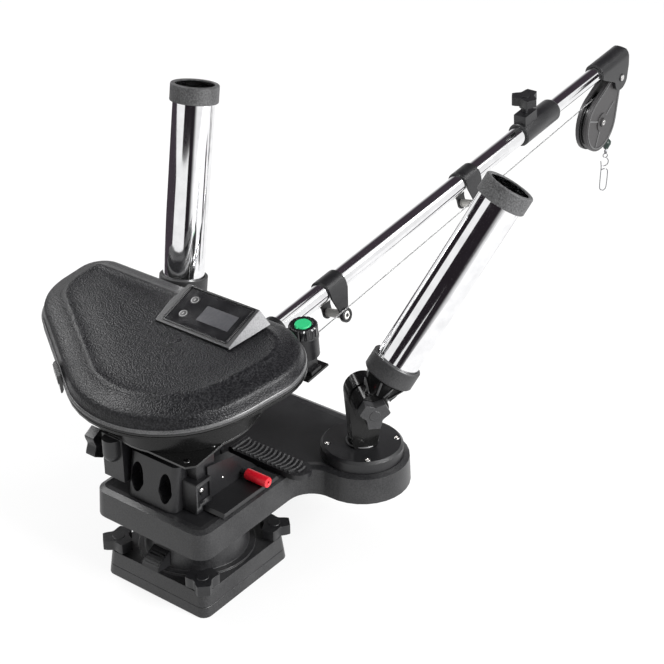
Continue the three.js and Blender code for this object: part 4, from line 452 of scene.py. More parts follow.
BRIGHT = Metal("bright_screw", (0.55, 0.54, 0.53), (0.80, 0.79, 0.78), (0.12, 0.24),
               drawn=(300.0, 300.0, 300.0))
DARK_STEEL = Metal("dark_screw", (0.05, 0.05, 0.05), (0.12, 0.12, 0.12), (0.20, 0.34),
                   drawn=(300.0, 300.0, 300.0))
PAINTED = Plastic("painted_plate", (0.006, 0.006, 0.006), (0.011, 0.011, 0.011), (0.16, 0.26),
                  grain=500.0, depth=0.00002, coat=0.2)
SATIN_FRAME = Plastic("display_frame", (0.010, 0.010, 0.011), (0.018, 0.018, 0.019),
                      (0.26, 0.38), grain=900.0, depth=0.00003, coat=0.15)
KNOB_GREY = Plastic("knob_grey", (0.018, 0.018, 0.019), (0.044, 0.044, 0.046), (0.32, 0.42))
COLLAR_GREY = Plastic("collar_grey", (0.010, 0.010, 0.011), (0.034, 0.034, 0.035),
                      (0.42, 0.56), grain=560.0, depth=0.0004)
TRAY_BLACK = Plastic("tray_black", (0.004, 0.004, 0.004), (0.008, 0.008, 0.008), (0.20, 0.30),
                     grain=500.0, depth=0.00003, glint=0.25)
# Lighter grey for the bezel's faces towards -Y: partly a grey trim, partly painted sheen where the
# light falls.
GREY_FLANK_AND_SHEEN = Plastic("grey_flank_and_sheen", (0.11, 0.11, 0.115), (0.21, 0.21, 0.215), (0.30, 0.40),
                       depth=0.0001)
# Matt black; the plate's whole top gets it, darker than its grey sides: painted shade on the top.
MATT_BLACK_AND_SHADE = Plastic("matt_black_and_shade", (0.005, 0.005, 0.006), (0.012, 0.012, 0.013), (0.44, 0.56),
                     depth=0.0001, glint=0.35)
HINGE_BLACK = Plastic("hinge_black", (0.004, 0.004, 0.004), (0.009, 0.009, 0.009),
                      (0.10, 0.18), grain=400.0, depth=0.00002, glint=0.28)
# Lighter grey for rib tops, the cover's lip, fins, foot ring and pulley ribs: a painted highlight.
PAINTED_HIGHLIGHT = Plastic("painted_highlight_grey", (0.05, 0.05, 0.051), (0.13, 0.13, 0.132), (0.26, 0.36))
PALE_INK = Plastic("pale_mark", (0.34, 0.34, 0.34), (0.46, 0.46, 0.46), (0.40, 0.50))
LCD = Plastic("lcd_field", (0.052, 0.052, 0.058), (0.066, 0.066, 0.073), (0.16, 0.24),
              grain=300.0, depth=0.000005)
RING_GREY = Plastic("ring_rubber", (0.018, 0.018, 0.019), (0.105, 0.105, 0.107), (0.50, 0.70),
                    grain=520.0, depth=0.0006)
PULLEY_GREY = Plastic("pulley_plastic", (0.020, 0.019, 0.020), (0.036, 0.034, 0.035),
                      (0.34, 0.46))
BEAD_GREEN = Plastic("bead_rubber", (0.004, 0.014, 0.011), (0.008, 0.024, 0.019), (0.30, 0.44))


class Paintbox:
    """The materials, each built once."""

    def __init__(self) -> None:
        """Starts with no material built."""
        self.built: dict[str, bpy.types.Material] = {}

    def of(self, finish: Any) -> bpy.types.Material:
        """Args: finish, a slot or a finish of its own. Returns: its material."""
        wanted = FINISHES[finish] if isinstance(finish, Slot) else finish
        if wanted.name not in self.built:
            self.built[wanted.name] = wanted.build()
        return self.built[wanted.name]


PAINT = Paintbox()


# ---------------------------------------------------------------- forms

class Form:
    """A closed body in millimetres."""

    def __init__(self, points: Iterable[Point], faces: list[Sequence[int]]) -> None:
        """Args: points; faces, as point numbers."""
        self.points = [Vector(point) for point in points]
        self.faces = faces

    def mesh(self, name: str, scale: float = MM) -> bpy.types.Mesh:
        """Args: name; scale, metres to one unit. Returns: the mesh."""
        made = bpy.data.meshes.new(name)
        made.from_pydata([point * scale for point in self.points], [], self.faces)
        made.validate()
        made.update()
        return made

    def turned(self, matrix: Matrix) -> "Form":
        """Args: matrix, a placing. Returns: the body there."""
        faces = self.faces
        if matrix.to_3x3().determinant() < 0:
            faces = [tuple(reversed(face)) for face in faces]
        return Form([matrix @ point for point in self.points], faces)

    def at(self, x: float = 0, y: float = 0, z: float = 0) -> "Form":
        """Args: x, y, z, the shift. Returns: the body moved by it."""
        return self.turned(Matrix.Translation((x, y, z)))

    def spun(self, angle: float, axis: str) -> "Form":
        """Args: angle, in degrees; axis, X, Y or Z. Returns: the body turned."""
        return self.turned(Matrix.Rotation(angle * DEGREE, 4, axis))

    def with_all(self, others: Iterable["Form"]) -> "Form":
        """Args: others, bodies apart from this one. Returns: them as one, unmerged."""
        points, faces = list(self.points), list(self.faces)
        for other in others:
            shift = len(points)
            points += other.points
            faces += [tuple(index + shift for index in face) for face in other.faces]
        return Form(points, faces)

    def _solve(self, operation: str, other: "Form") -> "Form":
        """Args: operation, the boolean; other, its tool. Returns: the result."""
        tool = placed("tool", other.mesh("tool", 1.0))
        base = placed("base", self.mesh("base", 1.0))
        step = base.modifiers.new("step", "BOOLEAN")
        step.operation = operation
        step.solver = "EXACT"
        step.object = tool
        seen = base.evaluated_get(bpy.context.evaluated_depsgraph_get())
        mesh = seen.to_mesh()
        result = Form([vertex.co.copy() for vertex in mesh.vertices],
                      [tuple(face.vertices) for face in mesh.polygons])
        seen.to_mesh_clear()
        for item in (tool, base):
            data = item.data
            bpy.data.objects.remove(item)
            bpy.data.meshes.remove(data)
        return result

    def __add__(self, other: "Form") -> "Form":
        """Args: other, a body. Returns: both merged."""
        return self._solve("UNION", other)

    def __sub__(self, other: "Form") -> "Form":
        """Args: other, a body. Returns: this one without it."""
        return self._solve("DIFFERENCE", other)

    def __and__(self, other: "Form") -> "Form":
        """Args: other, a body. Returns: what both fill."""
        return self._solve("INTERSECT", other)


def loft(rings: Sequence[Sequence[Point]], looped: bool = False) -> Form:
    """A skin over rings of as many points each.

    Args:
        rings: the rings, in order, each anticlockwise as seen from the last.
        looped: whether the last ring meets the first.

    Returns:
        The closed body.
    """
    count = len(rings[0])
    points = [point for ring in rings for point in ring]
    faces: list[Sequence[int]] = []
    spans = len(rings) if looped else len(rings) - 1
    for step in range(spans):
        low, high = step * count, ((step + 1) % len(rings)) * count
        for side in range(count):
            after = (side + 1) % count
            faces.append((low + side, low + after, high + after, high + side))
    if not looped:
        faces.append(tuple(reversed(range(count))))
        faces.append(tuple(range(len(points) - count, len(points))))
    return Form(points, faces)


def lathe(outline: Sequence[Point], segments: int = 96) -> Form:
    """A closed outline of (radius, height) turned round Z.

    Args:
        outline: the points, anticlockwise with the radius to the right.
        segments: how many steps go round.

    Returns:
        The body.
    """
    points: list[Point] = []
    rings: list[list[int]] = []
    for radius, height in outline:
        if radius < 1e-6:
            rings.append([len(points)] * segments)
            points.append((0, 0, height))
            continue
        rings.append(list(range(len(points), len(points) + segments)))
        for step in range(segments):
            turn = 2 * math.pi * step / segments
            points.append((radius * math.cos(turn), radius * math.sin(turn), height))
    faces = []
    for near, far in zip(rings, rings[1:] + rings[:1]):
        for step in range(segments):
            after = (step + 1) % segments
            face = dict.fromkeys((near[step], near[after], far[after], far[step]))
            if len(face) > 2:
                faces.append(tuple(face))
    return Form(points, faces)


def prism(outline: Sequence[Point], low: float, high: float) -> Form:
    """Args: outline, anticlockwise (x, y); low and high, its heights. Returns: the body."""
    return loft([[(x, y, z) for x, y in outline] for z in (low, high)])


def block(x0: float, x1: float, y0: float, y1: float, z0: float, z1: float) -> Form:
    """Args: the six sides. Returns: the box."""
    return prism([(x0, y0), (x1, y0), (x1, y1), (x0, y1)], z0, z1)


def disc(radius: float, low: float, high: float, segments: int = 96) -> Form:
    """Args: radius; low and high, its heights; segments. Returns: the disc."""
    return lathe([(0, low), (radius, low), (radius, high), (0, high)], segments)


def rod_y(radius: float, y0: float, y1: float, segments: int = 64) -> Form:
    """Args: radius; y0 and y1, its ends; segments. Returns: a rod along Y."""
    return disc(radius, -y1, -y0, segments).spun(90, "X")


def rod_x(radius: float, x0: float, x1: float, segments: int = 64) -> Form:
    """Args: radius; x0 and x1, its ends; segments. Returns: a rod along X."""
    return disc(radius, x0, x1, segments).spun(90, "Y")


def profiled(outline: Sequence[Point], y0: float, y1: float) -> Form:
    """Args: outline, (x, z) points; y0 and y1, its sides. Returns: the body along Y."""
    return prism(outline, -y1, -y0).spun(90, "X")


def arc(x: float, y: float, radius: float, start: float, end: float, steps: int) -> list[Point]:
    """Args: the centre, radius, start and end in degrees, and steps. Returns: its points."""
    return [(x + radius * math.cos((start + (end - start) * i / steps) * DEGREE),
             y + radius * math.sin((start + (end - start) * i / steps) * DEGREE))
            for i in range(steps + 1)]


def rounded(half_x: float, half_y: float, radius: float, steps: int = 8) -> list[Point]:
    """Args: the half sides, corner radius and steps. Returns: a rounded rectangle."""
    corners = [(half_x - radius, half_y - radius, 0), (radius - half_x, half_y - radius, 90),
               (radius - half_x, radius - half_y, 180), (half_x - radius, radius - half_y, 270)]
    return [point for x, y, turn in corners for point in arc(x, y, radius, turn, turn + 90, steps)]


def swept(path: Sequence[Point], radius: float, sides: int = 16, looped: bool = False) -> Form:
    """A round wire along a path.

    Args:
        path: its points.
        radius: the wire's radius.
        sides: how many sides it has.
        looped: whether it closes on itself.

    Returns:
        The body.
    """
    spots = [Vector(point) for point in path]
    count = len(spots)
    rings = []
    side = None
    for index, spot in enumerate(spots):
        before = spots[(index - 1) % count if looped else max(index - 1, 0)]
        after = spots[(index + 1) % count if looped else min(index + 1, count - 1)]
        along = (after - before).normalized()
        if side is None:
            side = along.orthogonal().normalized()
        side = (side - along * side.dot(along)).normalized()
        other = along.cross(side)
        rings.append([spot + radius * (side * math.cos(turn) + other * math.sin(turn))
                      for turn in (2 * math.pi * step / sides for step in range(sides))])
    return loft(rings, looped)


def curved(points: Sequence[Point], steps: int) -> list[Point]:
    """Args: points, (x, z); steps, from one to the next. Returns: a smooth path through them."""
    ends = [points[0], *points, points[-1]]
    path: list[Point] = []
    for before, start, end, after in zip(ends, ends[1:], ends[2:], ends[3:]):
        for step in range(steps):
            t = step / steps
            spot = [0.5 * (2 * b + (c - a) * t + (2 * a - 5 * b + 4 * c - d) * t * t
                           + (3 * b - a - 3 * c + d) * t * t * t)
                    for a, b, c, d in zip(before, start, end, after)]
            path.append((spot[0], 0.0, spot[1]))
    path.append((points[-1][0], 0.0, points[-1][1]))
    return path


def hull(circles: Sequence[Point], grow: float, steps: int = 14) -> list[Point]:
    """The tight outline round circles.

    Args:
        circles: (x, y, radius), in anticlockwise order.
        grow: what every radius grows by.
        steps: how many steps an arc takes.

    Returns:
        The outline's points.
    """
    normals = []
    for (x0, y0, r0), (x1, y1, r1) in zip(circles, list(circles[1:]) + [circles[0]]):
        away = math.hypot(x1 - x0, y1 - y0)
        along = math.atan2(y1 - y0, x1 - x0)
        normals.append(along - math.acos(max(-1.0, min(1.0, (r0 - r1) / away))))
    points: list[Point] = []
    for index, (x, y, radius) in enumerate(circles):
        start, end = normals[index - 1], normals[index]
        while end < start:
            end += 2 * math.pi
        points += arc(x, y, radius + grow, start / DEGREE, end / DEGREE, steps)
    return points


def pipe(radius: float, wall: float, low: float, high: float) -> Form:
    """Args: radius and wall; low and high, its ends. Returns: a pipe along Z with eased ends."""
    bore, ease = radius - wall, wall * 0.3
    return lathe([(bore, low), (radius - ease, low), (radius, low + ease), (radius, high - ease),
                  (radius - ease, high), (bore, high)], 160)


# ---------------------------------------------------------------- pieces

@dataclass
class Workshop:
    """Makes pieces from forms and hands them to the frame.

    Attributes:
        frame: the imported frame.
        body_of: each node's body.
        slot_of: each node's slot.
        done: the nodes that a piece has replaced.
        made: the pieces' names, in order.
    """

    frame: dict[str, Any]
    body_of: dict[str, str] = field(default_factory=dict)
    slot_of: dict[str, str] = field(default_factory=dict)
    done: set[str] = field(default_factory=set)
    made: list[str] = field(default_factory=list)

    def __post_init__(self) -> None:
        """Learns which body and slot each node has."""
        for body, nodes in self.frame["record"]["behaviour"]["bodies"].items():
            for node in nodes:
                self.body_of[node] = body
        for node, item in self.frame["nodes"].items():
            self.slot_of[node] = item.data.materials[0].name

    def slot(self, node: str) -> Slot:
        """Args: node, its name. Returns: its slot."""
        return Slot(self.slot_of[node].split(".")[0])

    def copied(self, node: str) -> Form:
        """Args: node, its name. Returns: its form in millimetres with flat sides whole."""
        work = bmesh.new()
        work.from_mesh(self.frame["nodes"][node].data)
        bmesh.ops.remove_doubles(work, verts=work.verts, dist=0.00001)
        bmesh.ops.dissolve_limit(work, angle_limit=0.4 * DEGREE, verts=work.verts,
                                 edges=work.edges)
        work.verts.index_update()
        result = Form([vertex.co / MM for vertex in work.verts],
                      [tuple(vertex.index for vertex in face.verts) for face in work.faces])
        work.free()
        return result

    def piece(self, name: str, form: Form, node: str, finish: Any = None, round_by: float = 0.0,
              steps: int = 2, corner: float = 40.0, smooth: float = 32.0,
              replaces: bool = True) -> bpy.types.Object:
        """Makes one shown piece.

        Args:
            name: the piece's name.
            form: its form in millimetres.
            node: the node whose body it rides on.
            finish: its finish, or the node's own.
            round_by: how far its edges are rounded, in millimetres.
            steps: how many steps the rounding takes.
            corner: the angle from which an edge is rounded.
            smooth: the angle up to which a turn is shaded smooth.
            replaces: whether the node is hidden for it.

        Returns:
            The object.
        """
        made = placed(name, form.mesh(name))
        self.made.append(name)
        slot = self.slot(node)
        made.data.materials.append(PAINT.of(slot if finish is None else finish))
        made.data.shade_smooth()
        made.data.set_sharp_from_angle(angle=smooth * DEGREE)
        if round_by:
            bevel = made.modifiers.new("rounding", "BEVEL")
            bevel.width = round_by * MM
            bevel.segments = steps
            bevel.limit_method = "ANGLE"
            bevel.angle_limit = corner * DEGREE
            bevel.miter_outer = "MITER_ARC"
            bevel.harden_normals = True
        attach(made, self.body_of[node])
        if replaces:
            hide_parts(node)
            self.done.add(node)
        return made

    def tint(self, made: bpy.types.Object, finish: Any,
             wanted: Callable[[bpy.types.MeshPolygon], bool]) -> None:
        """Args: made, a piece; finish, its second one; wanted, tells the faces that get it."""
        made.data.materials.append(PAINT.of(finish))
        for face in made.data.polygons:
            if wanted(face):
                face.material_index = 1

    def refine(self, node: str, round_by: float = 0.6, steps: int = 2, finish: Any = None,
               corner: float = 40.0, smooth: float = 32.0) -> bpy.types.Object:
        """Args: as for piece. Returns: a finer copy of the node in its place."""
        return self.piece(f"{node}_fine", self.copied(node), node, finish, round_by, steps,
                          corner, smooth)


# ---------------------------------------------------------------- sub-assemblies

@dataclass(frozen=True)
class KnobShape:
    """The three-armed knobs' form. Its shares are of the arms' reach.

    Attributes:
        tip: the arms' share at their middle.
        tip_width: how far an arm's flat end goes, as a share of the way to the next gap.
        waist: how far the outline falls from the arm's end to the gap.
        hub: the round boss on the face.
        neck: the round neck under lifted arms.
        arms_from: the share past which only the arms reach.
        stud: the stud's radius.
        proud: how far the boss stands out.
        steps: the outline's points.
    """

    tip: float = 0.94
    tip_width: float = 0.36
    waist: float = 0.40
    hub: float = 0.36
    neck: float = 0.44
    arms_from: float = 0.55
    stud: float = 4.0
    proud: float = 0.7
    steps: int = 120

    def outline(self, reach: float, phase: float) -> list[Point]:
        """Args: reach, of the arms; phase, the first arm's turn in radians. Returns: its points."""
        points = []
        for step in range(self.steps):
            turn = 2 * math.pi * step / self.steps
            away = abs((math.degrees(turn) + 60) % 120 - 60) / 60
            end = self.tip / math.cos(min(away, self.tip_width) * 60 * DEGREE)
            fall = min(max((away - self.tip_width) / (1 - self.tip_width), 0.0), 1.0)
            radius = reach * (end - self.waist * math.sin(fall * 90 * DEGREE))
            points.append((radius * math.cos(turn + phase), radius * math.sin(turn + phase)))
        return points


KNOB = KnobShape()


@dataclass
class Part:
    """A sub-assembly that makes its own pieces.

    Attributes:
        shop: where its pieces are made.
    """

    shop: Workshop

    def build(self) -> None:
        """Builds all of it."""
        raise NotImplementedError

    def turning(self, joint: str) -> Matrix:
        """Args: joint, its name. Returns: a placing with Z along its axis."""
        item = next(item for item in self.shop.frame["record"]["behaviour"]["joints"]
                    if item["name"] == joint)
        place = Vector(item["axis"]).normalized().to_track_quat("Z", "Y").to_matrix().to_4x4()
        place.translation = Vector(item["pos_m"]) / MM
        return place

    def screw(self, place: Matrix, radius: float, proud: float) -> Form:
        """A domed screw head with a cross in it.

        Args:
            place: where it sits, with the screw along Z.
            radius: its radius.
            proud: how far it stands out.

        Returns:
            The head.
        """
        sunk, foot = 0.6, 0.9
        half_long, half_wide, deep = radius * 0.62, radius * 0.13, radius * 0.34
        dome = [(radius * math.cos(turn * DEGREE), -sunk + (proud + sunk) * math.sin(turn * DEGREE))
                for turn in range(0, 90, 15)]
        head = lathe([(0, -foot), (radius, -foot), *dome, (0, proud)], 32)
        slots = [block(-half_long, half_long, -half_wide, half_wide,
                       proud - deep, proud + 1).spun(turn, "Z") for turn in (20, 110)]
        return (head - slots[0] - slots[1]).turned(place)

    def knob(self, node: str, joint: str, finish: Any = None, lift: float = 0.0,
             spun: float = 0.0) -> None:
        """Makes a three-armed knob where the plain one turns.

        Args:
            node: the knob's node.
            joint: the joint it turns on.
            finish: its finish, or the node's own.
            lift: how far its arms stand off, on a round neck.
            spun: how far it is turned from its solid, in degrees.
        """
        place = self.turning(joint)
        local = self.shop.copied(node).turned(place.inverted()).points
        reach = max(math.hypot(point.x, point.y) for point in local)
        tip = max(local, key=lambda point: math.hypot(point.x, point.y))
        body = [point.z for point in local
                if math.hypot(point.x, point.y) > reach * KNOB.arms_from]
        low, high = min(body), max(body)
        foot, top = min(point.z for point in local), max(point.z for point in local)
        phase = math.atan2(tip.y, tip.x) + spun * DEGREE
        form = prism(KNOB.outline(reach, phase), low + lift, high) + disc(KNOB.stud, foot, top, 32)
        if lift:
            form = form + disc(reach * KNOB.neck, low, low + lift + 1, 48)
        stud_above = top - high > low - foot
        hub = (low - KNOB.proud, low + 1) if stud_above else (high - 1, high + KNOB.proud)
        form = form + disc(reach * KNOB.hub, *hub, 48)
        self.shop.piece(f"{node}_fine", form.turned(place), node, finish, round_by=0.8,
                        corner=50, smooth=40)


@dataclass
class DeckBase(Part):
    """Deck plate, swivel base, its knobs, bolt and latch.

    Attributes:
        knobs: how many knobs clamp the base.
    """

    knobs: int = 4

    def build(self) -> None:
        """Builds all of it."""
        self.shop.refine("deck_plate", 0.9, 2)
        self.shop.refine("swivel_base", 0.9, 3)
        self.shop.refine("swivel_bolt", 0.5)
        self.shop.refine("swivel_latch", 0.35, finish=MATT_BLACK_AND_SHADE)
        for index in range(self.knobs):
            self.knob(f"deck_knob_{index + 1}", f"deck_knob_{index + 1}_turn")


@dataclass
class Turret(Part):
    """Rod holder plate, slide, lever, pin and the frame that carries the reel.

    Attributes:
        bolt, bolt_radius: the bright stop in the corner pocket.
        dot: the small screw on the cheek.
        top, rim, sunk: the plate's height, its raised rim's width and how deep it lies inside.
        crest: the height of the lever's rib tops.
        foot: the front block's lowest height.
        face_x, back_x: its face, and how far back its corners are rounded.
        column_x: the back of the column that it is cut to.
        crest: the height of the lever's rib tops, which carry a painted highlight.
        lean, lean_z, lean_most: how far its face leans back, between which heights, and up to
            how many times as far above them.
        levels: the heights that its form is drawn at.
        bore_radius, bore_z: the sockets' straight bores.
        mouth_z, mouth: the middle of their oval mouths, and the ovals' half sizes.
        sockets_y: the sockets' places across.
        pin_at: the foot of the red pin's grip.
        shank_radius, shank: its shank's radius and ends.
    """

    bolt: Point = (-41.8, -49.0, 147.7)
    bolt_radius: float = 3.6
    dot: Point = (-3.9, -47.2, 143.6)
    top: float = 121.3
    crest: float = 129.6
    rim: float = 7.0
    sunk: float = 1.0
    foot: float = 121.4
    face_x: float = -69.0
    back_x: float = -42.4
    column_x: float = -30.0
    sides: tuple[float, float] = (-30.0, 41.4)
    corner: float = 9.0
    lean: float = 8.0
    lean_z: tuple[float, float] = (121.6, 169.6)
    lean_most: float = 1.6
    levels: tuple[float, ...] = (121.0, 128.0, 150.0, 168.0, 180.0, 200.0, 260.0)
    bore_radius: float = 9.6
    bore_z: float = 144.0
    mouth_z: float = 148.0
    mouth: tuple[float, float] = (8.6, 18.0)
    sockets_y: tuple[float, float] = (-15.005, 26.405)
    pin_at: Point = (29.0, -56.0, 134.0)
    shank_radius: float = 3.4
    shank: tuple[float, float] = (-34.0, -1.4)

    def build(self) -> None:
        """Builds all of it."""
        self.plate()
        self.shop.refine("slide_bracket", 0.8)
        lever = self.shop.refine("release_lever", 0.3)
        # The rib tops get the lighter grey: a painted highlight along the crests.
        self.shop.tint(lever, PAINTED_HIGHLIGHT, lambda face: face.normal.z > 0.9
                       and abs(face.center.z - self.crest * MM) < 0.0003)
        self.frame()
        self.knob("brake_knob", "brake_knob_turn")
        self.pin()
        self.fittings()

    def plate(self) -> None:
        """Makes the rod holder plate with a raised rim round its sunk top, the whole top in painted
        shade.
        """
        made = self.shop.refine("rod_holder_plate", 0.7, 2, corner=25)
        work = bmesh.new()
        work.from_mesh(made.data)
        tops = [face for face in work.faces
                if face.normal.z > 0.99 and abs(face.calc_center_median().z / MM - self.top) < 0.2]
        bmesh.ops.inset_region(work, faces=tops, thickness=self.rim * MM, depth=-self.sunk * MM,
                               use_even_offset=True)
        work.to_mesh(made.data)
        work.free()
        made.data.set_sharp_from_angle(angle=32 * DEGREE)
        # The whole top gets the darker matt black: painted shade, the top darker than the grey
        # sides.
        self.shop.tint(made, MATT_BLACK_AND_SHADE, lambda face: face.normal.z > 0.99
                       and face.center.z / MM > self.top - 2)

    def frame(self) -> None:
        """Makes the main frame, with the front block's rounded corners and funnelled sockets."""
        low, high = self.sides
        corner = block(-90, self.back_x, low - 0.2, high + 0.2, self.foot, 240) - self.front()
        body = self.shop.copied("main_frame") - corner
        for y in self.sockets_y:
            funnel = lathe([(0, -95), (10.8, -95), (10.2, -69), (9.8, -46), (0, -46)], 72)
            flare = funnel.spun(90, "Y").turned(
                Matrix.Diagonal((1, self.mouth[0] / 10, self.mouth[1] / 10, 1)))
            bore = rod_x(self.bore_radius, -90, -50, 64)
            body = body - bore.at(0, y, self.bore_z) - flare.at(0, y, self.mouth_z)
        self.shop.piece("main_frame_fine", body, "main_frame", round_by=0.8, steps=3)

    def front(self) -> Form:
        """Returns: the front block's column, whose face leans back and has round corners."""
        low, high = self.sides
        lean_from, lean_to = self.lean_z
        rings = []
        for height in self.levels:
            risen = min(max((height - lean_from) / (lean_to - lean_from), 0.0), self.lean_most)
            middle = self.face_x + self.lean * risen + self.corner
            outline = [(self.column_x, low),
                       *arc(middle, low + self.corner, self.corner, 270, 180, 9),
                       *arc(middle, high - self.corner, self.corner, 180, 90, 9),
                       (self.column_x, high)]
            rings.append([(x, y, height) for x, y in reversed(outline)])
        return loft(rings)

    def pin(self) -> None:
        """Makes the red pin with its small hollow end."""
        grip = lathe([(0, -1.5), (5.4, -1.5), (6.3, -0.6), (6.5, 2.0), (6.5, 28.4), (5.9, 29.6),
                      (2.2, 30.0), (1.7, 29.6), (1.7, 26.0), (0, 26.0)], 64)
        place = Matrix.Translation(self.pin_at) @ Matrix.Rotation(90 * DEGREE, 4, "X")
        self.shop.piece("pin_fine", grip.turned(place), "lock_pin")
        shank = disc(self.shank_radius, *self.shank, 48).turned(place)
        self.shop.piece("pin_shank", shank, "lock_pin", Slot.BLACK, replaces=False)

    def fittings(self) -> None:
        """Sets the bright stop in the corner pocket and the small screw on the cheek."""
        turn = Matrix.Rotation(90 * DEGREE, 4, "X")
        stop = self.screw(Matrix.Translation(self.bolt) @ turn, self.bolt_radius, 1.6)
        self.shop.piece("pocket_stop", stop, "main_frame", BRIGHT, replaces=False)
        dot = self.screw(Matrix.Translation(self.dot) @ turn, 1.5, 0.5)
        self.shop.piece("cheek_screw", dot, "main_frame", BRIGHT, replaces=False)


@dataclass
class ReelHead(Part):
    """Frame plate, tray, gasket, cover, clip and what runs inside.

    Attributes:
        motor_away, motor_turn: the motor's distance and direction from the reel.
        by_reel, by_motor: the cover's corner circles, as (x, y, radius) from the reel's and
            from the motor's place.
        profile: the cover's outside, as (growth, height) from its foot to its top's edge.
        domed: its top, as (share of the edge, height).
        inside: the cover's inside, as (growth, height).
        lip: the section of the lip round its foot.
        turns, layer: the turns that show on the spool, and their lowest and highest height.
        core, dip, crest: the radius inside them, between two of them and on them.
        screw_spots: where the frame plate's screws are.
    """

    motor_away: float = 133.7
    motor_turn: float = 70.7
    by_reel: tuple[Point, Point] = ((32.0, -62.0, 68.0), (1.0, 1.0, 123.0))
    by_motor: tuple[Point, Point] = ((24.0, 58.0, 33.0), (-4.0, 18.0, 74.0))
    profile: tuple[tuple[float, float], ...] = (
        (4.2, 57.9), (3.5, 59.2), (2.7, 62.0),
        (1.9, 65.5), (1.1, 68.4), (0.0, 70.6), (-1.8, 72.2), (-4.6, 73.6), (-9.0, 75.2),
        (-14.0, 77.0), (-18.5, 78.9), (-21.6, 80.6), (-24.0, 82.0), (-26.2, 82.7), (-28.4, 82.7),
        (-30.6, 82.3))
    domed: tuple[tuple[float, float], ...] = (
        (0.93, 82.1), (0.86, 82.3), (0.76, 82.9), (0.66, 83.5), (0.55, 83.9), (0.3, 84.0))
    inside: tuple[tuple[float, float], ...] = (
        (1.0, 57.9), (-3.0, 67.0), (-27.0, 78.0), (-29.0, 81.0))
    lip: tuple[tuple[float, float], ...] = (
        (1.0, 53.3), (5.0, 53.3), (6.0, 54.0), (6.0, 56.9), (5.2, 57.9), (1.0, 57.9))
    turns: int = 12
    layer: tuple[float, float] = (6.9, 27.1)
    core: float = 44.3
    dip: float = 63.1
    crest: float = 63.9
    screw_spots: tuple[tuple[float, float], ...] = ((-62, -47), (-26, -53.5))

    @property
    def corners(self) -> list[Point]:
        """Returns: the cover's corner circles, anticlockwise."""
        motor = (REEL[0] + self.motor_away * math.cos(self.motor_turn * DEGREE),
                 REEL[1] + self.motor_away * math.sin(self.motor_turn * DEGREE))
        first, last = self.by_reel
        return [(spot[0] + x, spot[1] + y, radius) for spot, (x, y, radius)
                in ((REEL, first), (motor, self.by_motor[0]), (motor, self.by_motor[1]),
                    (REEL, last))]

    def rings(self, profile: Sequence[tuple[float, float]]) -> list[list[Point]]:
        """Args: profile, (growth, height) pairs. Returns: the cover's outline at each."""
        return [[(x, y, height) for x, y in hull(self.corners, grow, 20)]
                for grow, height in profile]

    def build(self) -> None:
        """Builds all of it."""
        self.cover()
        self.shop.refine("reel_tray", 0.7, 3, finish=TRAY_BLACK)
        self.shop.refine("cover_gasket", 0.5)
        self.shop.refine("frame_plate", 0.35, finish=PAINTED)
        self.shop.refine("cover_clip", 0.35)
        for node in ("cable_spool", "spool_sheave", "drive_motor", "motor_sheave", "drive_belt"):
            self.shop.refine(node, 0.3)
        self.wound()
        self.screws()

    def cover(self) -> None:
        """Makes the cover: a soft ridge round a slightly dished top, and a lip in painted
        highlight.
        """
        outer = self.rings(self.profile)
        edge = outer[-1]
        middle_x = sum(point[0] for point in edge) / len(edge)
        middle_y = sum(point[1] for point in edge) / len(edge)
        outer += [[(middle_x + (x - middle_x) * share, middle_y + (y - middle_y) * share, height)
                   for x, y, _ in edge] for share, height in self.domed]
        form = loft([*reversed(self.rings(self.inside)), *outer]).turned(HEAD)
        self.shop.piece("cover_fine", form, "reel_cover", smooth=50)
        lip = loft(self.rings(self.lip), looped=True)
        # The lip is lighter grey all round: a painted highlight along the cover's foot.
        self.shop.piece("cover_lip", lip.turned(HEAD), "reel_cover", PAINTED_HIGHLIGHT, smooth=40,
                        replaces=False)

    def wound(self) -> None:
        """Makes the line wound on the spool, turn beside turn."""
        start, end = self.layer
        pitch = (end - start) / self.turns
        points = [(self.core, start)]
        for index in range(self.turns):
            low = start + pitch * index
            points += [(self.dip, low + pitch * 0.08), (self.crest, low + pitch * 0.5),
                       (self.dip, low + pitch * 0.92)]
        points.append((self.core, end))
        form = lathe(points, 96).at(*REEL).turned(HEAD)
        self.shop.piece("wound_fine", form, "wound_cable", Strand("wound_wire"))

    def screws(self) -> None:
        """Sets the two screw heads that show on the frame plate."""
        heads = [self.screw(HEAD @ Matrix.Translation((x, y, -0.2)), 3.6, 1.5)
                 for x, y in self.screw_spots]
        self.shop.piece("plate_screws", heads[0].with_all(heads[1:]), "frame_plate", DARK_STEEL,
                        replaces=False)


